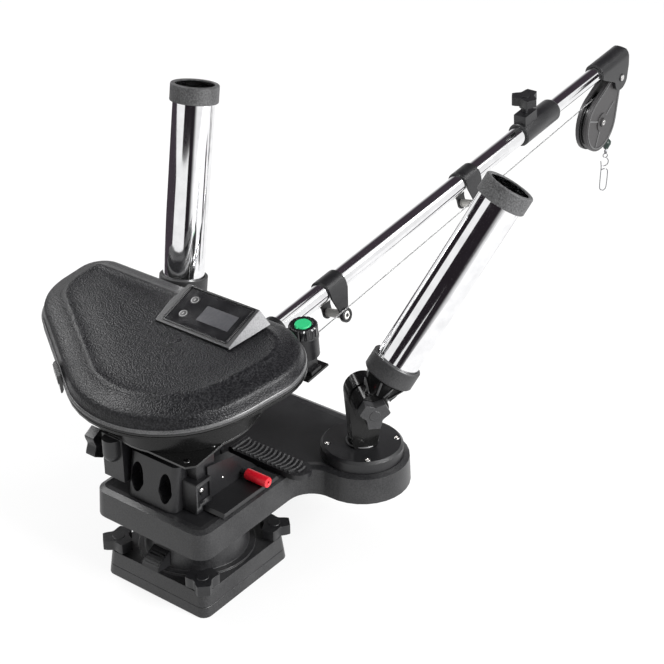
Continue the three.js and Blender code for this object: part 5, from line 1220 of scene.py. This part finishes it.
@dataclass
class Display(Part):
    """The display on the cover.

    Attributes:
        near_x, near_z, slope: the panel's near edge on the cover, and its slope in degrees.
        border, border_width: the four sides of the border round the glass, and its width.
        button_x, button_y: the buttons' places on the panel.
        ring, bar: the radius of the ring on each button, and half the sizes of the bar in it.
        window: the grey field's four sides.
    """

    near_x: float = 38.0
    near_z: float = 87.3
    slope: float = 14.15
    border: tuple[float, float, float, float] = (0.9, 57.4, -31.2, 64.2)
    border_width: float = 2.0
    button_x: tuple[float, float] = (40.6, 18.3)
    button_y: float = 45.4
    ring: float = 4.4
    bar: tuple[float, float] = (1.5, 0.4)
    window: tuple[float, float, float, float] = (16.5, 39.5, -20.0, 25.5)

    @property
    def place(self) -> Matrix:
        """Returns: the placing of the panel's own frame."""
        return (HEAD @ Matrix.Translation((self.near_x, 0, self.near_z))
                @ Matrix.Rotation(-self.slope * DEGREE, 4, "Y"))

    def build(self) -> None:
        """Builds all of it."""
        bezel = self.shop.refine("display_bezel", 0.7, 3, finish=SATIN_FRAME)
        # The faces towards -Y get a lighter grey: partly a grey trim, partly painted sheen.
        self.shop.tint(bezel, GREY_FLANK_AND_SHEEN,
                       lambda face: face.normal.y < -0.8 and face.center.y < -0.03)
        self.shop.refine("display_screen", 0.25)
        self.rim()
        self.face()

    def outline(self, x0: float, x1: float, y0: float, y1: float, radius: float) -> list[Point]:
        """Args: the sides and corner radius. Returns: the outline."""
        return [(x + (x0 + x1) / 2, y + (y0 + y1) / 2)
                for x, y in rounded((x1 - x0) / 2, (y1 - y0) / 2, radius)]

    def rim(self) -> None:
        """Makes the raised border round the glass."""
        x0, x1, y0, y1 = self.border
        wide = self.border_width
        outer = prism(self.outline(x0, x1, y0, y1, 3.0), -0.4, 1.1)
        inner = prism(self.outline(x0 + wide, x1 - wide, y0 + wide, y1 - wide, 1.6), -2.0, 3.0)
        self.shop.piece("display_rim", (outer - inner).turned(self.place), "display_bezel",
                        Slot.GLOSS, round_by=0.35, replaces=False)

    def face(self) -> None:
        """Makes the buttons, the ring and bar on each, and the window's grey field."""
        marks = []
        for index, name in enumerate(("button_up", "button_down")):
            cap = lathe([(0, -1.6), (5.9, -1.6), (5.9, -0.7), (5.4, -0.25), (4.6, -0.05),
                         (0, 0.1)], 64)
            x, y = self.button_x[index], self.button_y
            self.shop.piece(f"{name}_fine", cap.at(x, y).turned(self.place), name)
            loop = [(spot[0], spot[1], 0.0) for spot in arc(x, y, self.ring, 0, 360, 48)[:-1]]
            marks.append((name, swept(loop, 0.32, 8, True)))
            long, wide = self.bar
            marks.append((name, block(x - long, x + long, y - wide, y + wide, -0.2, 0.22)))
        for index, (name, form) in enumerate(marks):
            self.shop.piece(f"{name}_mark_{index}", form.turned(self.place), name, PALE_INK,
                            replaces=False)
        x0, x1, y0, y1 = self.window
        pane = prism(self.outline(x0, x1, y0, y1, 0.8), -0.69, -0.55)
        self.shop.piece("display_window", pane.turned(self.place), "display_screen", LCD,
                        replaces=False)


@dataclass
class Boom(Part):
    """Boom tubes, socket, guides, collar and boom head.

    Attributes:
        tubes: each tube's node, radius, start and end along the boom.
        wall: the tubes' wall.
        guides: the guides' places along the boom.
        bush_turn, bush_below: how the bushes hang under it.
        axle, pivot, cheeks: the pulley housing's two centres, and its radius round each.
        border: how far inside its edge the raised border starts and ends.
        webs: the directions of the ribs on its cheeks, in degrees.
        web, web_half: the ribs' ends from the axle, and half their width.
        rib_y: the lowest and highest point of the raised border and ribs on a cheek.
    """

    tubes: tuple[tuple[str, float, float, float], ...] = (
        ("lower_boom_tube", 12.7, 117.0, 776.0), ("upper_boom_tube", 11.1, 300.0, 973.7))
    wall: float = 1.2
    guides: tuple[float, float] = (261.0, 562.0)
    bush_turn: float = -12.0
    bush_below: float = 37.0
    axle: tuple[float, float] = (917.1, -54.5)
    pivot: tuple[float, float] = (964.0, -0.8)
    cheeks: tuple[float, float] = (45.0, 13.0)
    border: tuple[float, float] = (-3.2, -5.2)
    webs: tuple[float, ...] = (118.0, 205.0, -28.0)
    web: tuple[float, float] = (13.0, 40.0)
    web_half: float = 1.1
    rib_y: tuple[float, float] = (9.3, 10.3)

    def build(self) -> None:
        """Builds all of it."""
        along = HEAD @ Matrix.Translation((0, 0, BOOM_AXIS)) @ Matrix.Rotation(90 * DEGREE, 4, "Y")
        for node, radius, start, end in self.tubes:
            self.shop.piece(f"{node}_fine", pipe(radius, self.wall, start, end).turned(along), node)
        self.shop.refine("boom_socket", 0.8)
        for index in (1, 2):
            self.shop.refine(f"cable_guide_{index}", 0.5)
            self.bush(index)
        self.shop.refine("boom_collar", 0.9, 3, corner=50)
        self.knob("collar_knob", "collar_knob_turn", lift=5.5)
        self.shop.refine("boom_head", 0.9, 3)
        self.shop.refine("pulley_wheel", 0.4)
        self.pulley()

    def bush(self, index: int) -> None:
        """Args: index, which guide's bush is made: a white roller with a dark middle."""
        roller = lathe([(0, -17.6), (4.4, -17.6), (5.4, -16.9), (5.4, 14.2), (4.8, 15.2),
                        (0, 15.2)], 64)
        place = (HEAD @ Matrix.Translation((self.guides[index - 1], 0, BOOM_AXIS))
                 @ Matrix.Rotation(self.bush_turn * DEGREE, 4, "X")
                 @ Matrix.Translation((0, 0, -self.bush_below))
                 @ Matrix.Rotation(-90 * DEGREE, 4, "X"))
        self.shop.piece(f"bush_{index}_fine", roller.turned(place), f"guide_bush_{index}",
                        round_by=0.2)
        boss = lathe([(5.7, -18.4), (8.4, -18.4), (9.2, -17.6), (9.2, -13.0), (5.7, -13.0)], 64)
        self.shop.piece(f"bush_{index}_boss", boss.turned(place), f"cable_guide_{index}",
                        round_by=0.3, replaces=False)
        core = lathe([(0, -18.2), (2.0, -18.2), (2.6, -17.7), (2.6, -17.0), (0, -17.0)], 32)
        self.shop.piece(f"bush_{index}_core", core.turned(place), f"guide_bush_{index}", DARK_STEEL,
                        replaces=False)

    def pulley(self) -> None:
        """Makes the pulley housing, the raised ribs on both cheeks in painted highlight, and the
        bright pin ends.
        """
        self.shop.refine("pulley_housing", 0.6, finish=PULLEY_GREY)
        axle_x, axle_z = self.axle
        outside, inside = (hull([(*self.axle, self.cheeks[0]), (*self.pivot, self.cheeks[1])],
                                grow, 24) for grow in self.border)
        near, far = self.rib_y
        for name, low, high in (("right", -far, -near), ("left", near, far)):
            border = profiled(outside, low, high) - profiled(inside, low - 1, high + 1)
            web = block(*self.web, low, high, -self.web_half, self.web_half)
            webs = [web.spun(turn, "Y").at(axle_x, 0, axle_z) for turn in self.webs]
            # The ribs are lighter grey: a painted highlight on their crests.
            self.shop.piece(f"pulley_ribs_{name}", border.with_all(webs).turned(HEAD),
                            "pulley_housing", PAINTED_HIGHLIGHT, round_by=0.3, replaces=False)
        end = rod_y(4.0, -13.3, -12.6, 48) - rod_y(1.7, -14, -12, 32)
        self.shop.piece("axle_end", end.at(axle_x, 0, axle_z).turned(HEAD), "pulley_housing",
                        BRIGHT, round_by=0.2, replaces=False)
        cap = rod_y(4.6, -17.4, -16.2, 48).at(self.pivot[0], 0, self.pivot[1])
        self.shop.piece("pivot_end", cap.turned(HEAD), "boom_head", BRIGHT, round_by=0.4,
                        replaces=False)


@dataclass
class Line(Part):
    """Cable, bead and snap.

    Attributes:
        start, end: the run's two ends in the head's frame.
        hung: where the snap hangs.
        radius: the cable's and the snap wire's radius.
        steps: the run's steps.
        stretch: two shares of the run whose points are worked out but not used.
        longer: the wire loop's stretch.
    """

    start: Point = (22.0, -41.05, 16.0)
    end: Point = (916.8, 0.0, -14.75)
    hung: Point = (956.755, 0.0, 201.47)
    radius: float = 0.75
    steps: int = 60
    stretch: tuple[float, float] = (0.62, 0.985)
    longer: float = 1.14

    def build(self) -> None:
        """Builds all of it."""
        start, end = Vector(self.start), Vector(self.end)
        run = swept([HEAD @ start.lerp(end, step / self.steps) for step in range(self.steps + 1)],
                    self.radius, 12)
        cable = placed("cable_fine", run.mesh("cable_fine"))
        cable.data.materials.append(PAINT.of(Strand("laid_wire")))
        cable.data.shade_smooth()
        ends = [HEAD @ start.lerp(end, share) * MM for share in self.stretch]
        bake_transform(cable)
        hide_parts("cable_run")
        self.shop.done.add("cable_run")
        self.shop.made.append("cable_fine")
        self.shop.refine("cable_drop", 0.0, smooth=80)
        self.shop.refine("stop_bead", 0.0, smooth=60, finish=BEAD_GREEN)
        self.snap()

    def snap(self) -> None:
        """Makes the snap: barrel, ring, hook and long wire loop."""
        place = Matrix.Translation(self.hung) @ Matrix.Rotation(-45 * DEGREE, 4, "Z")
        barrel = lathe([(0, -8.5), (1.4, -8.5), (2.3, -7.4), (2.3, -3.0), (1.4, -1.6),
                        (1.0, 0.0), (0, 0)], 32)
        ring = swept([(x, 0, z) for x, z in arc(0, -11.4, 3.4, 0, 360, 24)[:-1]],
                     self.radius, 10, True)
        hook = swept(curved([(0.5, -14.6), (3.6, -16.4), (5.6, -20.5), (4.6, -25.5),
                             (0.4, -28.4), (-4.6, -28.2)], 8), self.radius, 10)
        loop = swept(curved([(-6.2, -20.5), (-5.4, -25.5), (-4.8, -32.0), (-4.8, -56.0),
                             (-3.6, -61.5), (0.4, -63.6), (4.2, -61.5), (5.6, -56.0),
                             (6.0, -38.0), (4.6, -33.2), (0.6, -31.8), (-4.2, -33.2)], 8),
                     self.radius, 10)
        loop = loop.turned(Matrix.Diagonal((1, 1, self.longer, 1))).at(0, 0, 3)
        form = barrel.with_all([ring, hook, loop])
        self.shop.piece("swivel_snap_fine", form.turned(place), "swivel_snap", smooth=60)


@dataclass
class Switch(Part):
    """The rotary switch beside the cover.

    Attributes:
        cap_share: how much of its solid's width the green cap keeps.
    """

    cap_share: float = 0.86

    def build(self) -> None:
        """Builds all of it."""
        self.shop.refine("switch_body", 0.7, 3, corner=50)
        self.shop.refine("switch_knob", 0.35, corner=50, smooth=20)
        cap = self.shop.copied("switch_cap")
        middle = sum(cap.points, Vector()) / len(cap.points)
        tilt = HEAD.to_3x3().to_4x4()
        shrink = (Matrix.Translation(middle) @ tilt
                  @ Matrix.Diagonal((self.cap_share, self.cap_share, 1, 1))
                  @ tilt.inverted() @ Matrix.Translation(-middle))
        self.shop.piece("switch_cap_fine", cap.turned(shrink), "switch_cap", round_by=0.3,
                        corner=50)


@dataclass
class RodHolder(Part):
    """One rod holder.

    Attributes:
        side: right or left, as in its nodes' names.
        lobe: the middle of the plate's lobe under it.
        yaw, lean: its turn and lean in degrees.
        hand: 1 where the tube stands to the left of its hinge, and -1 to the right.
        screw_circle, screw_z: the flange screws' circle and height.
        foot_z, hinge_up: the post's foot, and the hinge above it.
        offset: the tube's distance from the hinge.
        tube_radius, tube_wall, tube_ends: the polished tube.
        knob_spun: how far the knob is turned from its solid.
        fins_from: the fins' shift across the cradle.
    """

    side: str = "right"
    lobe: Point = (160.3, -120.6, 0.0)
    yaw: float = -40.0
    lean: float = 31.0
    hand: float = -1.0
    screw_circle: float = 41.0
    screw_z: float = 135.4
    foot_z: float = 136.5
    hinge_up: float = 68.5
    offset: float = 32.0
    tube_radius: float = 25.4
    tube_wall: float = 1.5
    tube_ends: tuple[float, float] = (42.3, 296.0)
    knob_spun: float = -28.0
    fins_from: float = 16.0

    def build(self) -> None:
        """Builds all of it."""
        self.refined("flange", 0.6)
        self.refined("post", 0.9, HINGE_BLACK)
        self.refined("cradle", 0.9, HINGE_BLACK)
        self.knob(f"{self.side}_holder_knob", f"{self.side}_holder_knob_turn", KNOB_GREY,
                  spun=self.knob_spun)
        self.dress()
        self.refined("ring", 0.8, RING_GREY)
        self.tube()
        self.screws()

    def refined(self, name: str, round_by: float, finish: Any = None) -> None:
        """Args: name, of a node without its side; round_by; finish. Makes its finer copy."""
        self.shop.refine(f"{self.side}_holder_{name}", round_by, 3, finish=finish)

    def extra(self, name: str, form: Form, rides: str, finish: Any) -> None:
        """Adds a piece that hides no node.

        Args:
            name: the piece's name without its side.
            form: its form in millimetres.
            rides: the node it rides on, without its side.
            finish: its finish.
        """
        self.shop.piece(f"{self.side}_{name}", form, f"{self.side}_holder_{rides}", finish,
                        replaces=False)

    @property
    def foot(self) -> Matrix:
        """Returns: the placing of the post's foot."""
        return Matrix.Translation(self.lobe) @ Matrix.Translation((0, 0, self.foot_z))

    @property
    def cradle(self) -> Matrix:
        """Returns: the placing of the tube's own frame."""
        return (self.foot @ Matrix.Rotation(self.yaw * DEGREE, 4, "Z")
                @ Matrix.Translation((0, 0, self.hinge_up))
                @ Matrix.Rotation(self.lean * DEGREE, 4, "Y")
                @ Matrix.Translation((0, self.hand * self.offset, 0)))

    def dress(self) -> None:
        """Adds the grained sleeve round the collar, and the cradle's fins and post's foot ring in
        painted highlight.
        """
        sleeve = lathe([(25.9, 42.0), (28.6, 40.6), (29.7, 42.0), (29.7, 61.6), (29.2, 62.3),
                        (25.9, 62.3)], 96)
        self.extra("collar_sleeve", sleeve.turned(self.cradle), "cradle", COLLAR_GREY)
        cone = lathe([(0, 4), (17.6, 4), (18.6, 19), (27.4, 38.6), (0, 38.6)], 72)
        # The fins are lighter grey: painted highlight lines.
        fins = [cone & block(-0.7, 0.7, -32, 32, 22, 60).spun(turn, "Y").at(
            0, self.hand * self.fins_from, 0) for turn in range(-60, 61, 20)]
        self.extra("cradle_fins", fins[0].with_all(fins[1:]).turned(self.cradle), "cradle",
                   PAINTED_HIGHLIGHT)
        # The foot ring is lighter grey: a painted highlight round the post's foot.
        ring = lathe([(17.6, 0.1), (18.9, 0.1), (19.4, 0.9), (18.9, 1.8), (17.6, 1.8)], 96)
        self.extra("foot_ring", ring.turned(self.foot), "post", PAINTED_HIGHLIGHT)

    def tube(self) -> None:
        """Makes the polished tube."""
        form = pipe(self.tube_radius, self.tube_wall, *self.tube_ends)
        self.shop.piece(f"{self.side}_tube_fine", form.turned(self.cradle),
                        f"{self.side}_holder_tube")

    def screws(self) -> None:
        """Sets the flange's four bright screws."""
        heads = [self.screw(Matrix.Translation(self.lobe)
                            @ Matrix.Rotation((45 + 90 * index) * DEGREE, 4, "Z")
                            @ Matrix.Translation((self.screw_circle, 0, self.screw_z)), 3.7, 1.5)
                 for index in range(4)]
        self.extra("flange_screws", heads[0].with_all(heads[1:]), "flange", BRIGHT)


# ---------------------------------------------------------------- studio

@dataclass(frozen=True)
class Card:
    """A dark card that only shiny surfaces see.

    It lies on the floor where that is nearer than its reach.

    Attributes:
        name: its name.
        seen_from: the spot that its directions start from.
        reach: its distance from there in metres.
        rows: its directions, as (azimuth, lowest and highest elevation) in degrees.
        shade, green: its brightness, and the share of it that its green keeps.
        fade: the two points between which it turns white.
        bends: the steps in each row.
    """

    name: str
    seen_from: Point
    reach: float
    rows: tuple[tuple[float, float, float], ...]
    shade: float = 0.02
    green: float = 0.8
    fade: tuple[Point, Point] | None = None
    bends: int = 8

    def spot(self, azimuth: float, elevation: float) -> Point:
        """Args: azimuth, elevation, in degrees. Returns: where that ray meets the card."""
        rise = math.sin(elevation * DEGREE)
        away = self.reach
        if rise < 0:
            away = min(away, (0.004 - self.seen_from[2]) / rise)
        flat = away * math.cos(elevation * DEGREE)
        x, y, z = self.seen_from
        return (x + flat * math.cos(azimuth * DEGREE), y + flat * math.sin(azimuth * DEGREE),
                z + away * rise)

    def form(self) -> Form:
        """Returns: the card in millimetres."""
        count = self.bends + 1
        points = [self.spot(azimuth, low + (high - low) * step / self.bends)
                  for azimuth, low, high in self.rows for step in range(count)]
        faces = [(row * count + step, row * count + step + 1, (row + 1) * count + step + 1,
                  (row + 1) * count + step)
                 for row in range(len(self.rows) - 1) for step in range(self.bends)]
        return Form([[value / MM for value in point] for point in points], faces)

    def material(self) -> bpy.types.Material:
        """Returns: a dark glow that fades to white from the first fade point to the second."""
        graph = Graph.named(self.name)
        tone: Any = (self.shade, self.shade * self.green, self.shade, 1)
        if self.fade:
            start, end = Vector(self.fade[0]), Vector(self.fade[1])
            way = (end - start) / (end - start).length_squared
            dot = graph.node("ShaderNodeVectorMath", {"operation": "DOT_PRODUCT"},
                             {0: graph.place(), 1: tuple(way)}, output="Value")
            tone = graph.colours((dot - start.dot(way)).above(0.5, 0.5), tone[:3], WHITE[:3])
        return graph.shown(graph.glow(tone))


@dataclass
class Studio:
    """White room, camera, lamps and cards.

    Attributes:
        eye, right, up, back, lens: the camera's place, axes and focal length.
        centre: where the lamps aim.
        room_light: the world's strength as light on matt surfaces.
        floor_glow: the floor's strength as light on matt surfaces, and as it is seen.
        floor_grey: its matt colour.
        floor_half: half its side in metres.
        far, far_glow: where its own glow rises by half and how softly, and by how much.
        boxes: each soft box's name, place, side in metres and power in watts.
        cards: what only shiny surfaces see.
    """

    eye: Point = (-1.1533, -1.0636, 1.1957)
    right: Point = (0.6007, -0.7995, 0.0)
    up: Point = (0.3936, 0.2957, 0.8705)
    back: Point = (-0.6959, -0.5229, 0.4923)
    lens: float = 89.46
    centre: Point = (0.25, 0.0, 0.35)
    room_light: float = 0.5
    floor_glow: tuple[float, float] = (0.35, 0.79)
    floor_grey: Colour = (0.2, 0.2, 0.2)
    floor_half: float = 9.0
    far: tuple[float, float] = (2.6, 1.2)
    far_glow: Colour = (0.11, 0.11, 0.11)
    boxes: tuple[tuple[str, Point, float, float], ...] = (
        ("key_box", (0.44, 1.77, 1.64), 0.9, 20.0),
        ("top_box", (-0.46, 1.22, 2.04), 0.5, 17.0),
        ("side_box", (0.3, -2.3, 1.1), 1.2, 95.0),
        ("edge_box", (1.7, -1.13, 1.55), 0.5, 6.0),
    )
    cards: tuple[Card, ...] = (
        Card("mat_left", (0.19, 0.16, 0.38), 4.5,
             tuple((turn, -27, -6.5) for turn in range(50, 147, 12)), 0.055),
        Card("card_left", (0.21, -0.2, 0.36), 2.0,
             ((98, 4, 16), (112, 5, 20), (125, 6, 22))),
        Card("card_front", (0.21, -0.2, 0.36), 2.0,
             ((163, -1.5, 20), (180, -1.5, 18), (-160, -1.5, 15))),
        Card("card_front_low", (0.21, -0.2, 0.36), 2.0,
             ((-160, -10, 15), (-150, -10, 13), (-138, -10, 9), (-122, -10, 4)),
             fade=((-1.40, -1.42, 0), (-0.85, -1.90, 0))),
        Card("mat_front", (0.21, -0.2, 0.36), 1.95,
             ((-156, -24, -10), (-146, -24, -10), (-134, -24, -10), (-118, -26, -11)),
             fade=((-0.80, -0.95, 0), (-0.35, -1.30, 0))),
        Card("card_back", (0.45, 0.0, 0.29), 2.6,
             tuple((turn, -6, 62) for turn in range(-28, 61, 8)),
             shade=0.05, fade=((0, 0, 1.7), (0, 0, 0.0))),
        Card("card_top", (0.45, 0.0, 0.29), 2.6,
             tuple((turn, 10, 76) for turn in range(60, 105, 11))),
        Card("card_above", (0.3, 0.0, 0.3), 2.7,
             tuple((turn, 63, 89) for turn in range(-180, 181, 20))),
        Card("card_line", (0.88, 0.0, 0.33), 0.6, ((-42, -8, 20), (-34, -8, 20))),
        Card("mat_line", (0.5, 0.0, 0.29), 3.0, ((-38.5, -50, -14), (-31.5, -50, -14)), 0.06),
        Card("mat_edge", (0.19, 0.16, 0.38), 3.0, ((-58, -25, -16), (-49, -25, -16)), 0.06),
    )

    def build(self) -> None:
        """Builds all of it."""
        self.room()
        self.floor()
        self.camera()
        for lamp in self.boxes:
            self.box(*lamp)
        for card in self.cards:
            self.hang(card)

    def room(self) -> None:
        """Makes the world white to the eye and softer to matt surfaces."""
        world = bpy.data.worlds.new("room")
        bpy.context.scene.world = world
        graph = Graph(world)
        graph.shown(graph.whites("ShaderNodeBackground", self.room_light, 1.0))

    def floor(self) -> None:
        """Lays the white floor, which meets the room and keeps a soft shadow.

        Its own glow rises where the lamps no longer reach, so that it stays as white there.
        """
        graph = Graph.named("studio_floor")
        shine = graph.whites("ShaderNodeEmission", *self.floor_glow)
        matt = graph.node("ShaderNodeBsdfDiffuse", inputs={"Color": (*self.floor_grey, 1.0)})
        away = graph.node("ShaderNodeVectorMath", {"operation": "LENGTH"}, {0: graph.place()},
                          output="Value")
        lift = graph.glow(graph.colours(away.above(*self.far), (0.0, 0.0, 0.0), self.far_glow))
        material = graph.shown(graph.both(graph.both(shine, matt), lift))
        half = self.floor_half / MM
        sheet = Form([(-half, -half, -0.5), (half, -half, -0.5), (half, half, -0.5),
                      (-half, half, -0.5)], [(0, 1, 2, 3)])
        made = placed("studio_floor", sheet.mesh("studio_floor"))
        made.data.materials.append(material)

    def camera(self) -> None:
        """Sets the camera where the photo was taken from."""
        lens = bpy.data.cameras.new("photo_camera")
        lens.lens = self.lens
        lens.sensor_width = 36
        made = placed("photo_camera", lens)
        turn = Matrix((self.right, self.up, self.back)).transposed().to_4x4()
        made.matrix_world = Matrix.Translation(self.eye) @ turn
        bpy.context.scene.camera = made

    def box(self, name: str, place: Point, size: float, power: float) -> None:
        """Args: name; place; size, its side in metres; power, in watts. Hangs a soft box."""
        lamp = bpy.data.lights.new(name, "AREA")
        lamp.shape = "SQUARE"
        lamp.size = size
        lamp.energy = power
        made = placed(name, lamp)
        aim = (Vector(self.centre) - Vector(place)).to_track_quat("-Z", "Y")
        made.matrix_world = Matrix.Translation(place) @ aim.to_matrix().to_4x4()

    def hang(self, card: Card) -> None:
        """Args: card, which one is hung."""
        made = placed(card.name, card.form().mesh(card.name))
        made.data.materials.append(card.material())
        made.visible_camera = False
        made.visible_diffuse = False
        made.visible_shadow = False
        made.visible_transmission = False


# ---------------------------------------------------------------- the script

def main() -> None:
    """Builds the studio and all pieces."""
    logging.basicConfig(level=logging.INFO)
    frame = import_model()
    shop = Workshop(frame)
    Studio().build()
    left = RodHolder(shop, side="left", lobe=(160.3, 120.6, 0.0), yaw=10.0, lean=11.0, hand=1.0)
    for part in (DeckBase(shop), Turret(shop), ReelHead(shop), Display(shop), Boom(shop),
                 Line(shop), Switch(shop), RodHolder(shop), left):
        before = len(shop.made)
        part.build()
        log.info("%s: %s", type(part).__name__, ", ".join(shop.made[before:]))
    for node in sorted(set(frame["nodes"]) - shop.done):
        log.warning("%s is shown as it came", node)
    bpy.context.scene.view_settings.view_transform = "Standard"


if __name__ == "__main__":
    main()
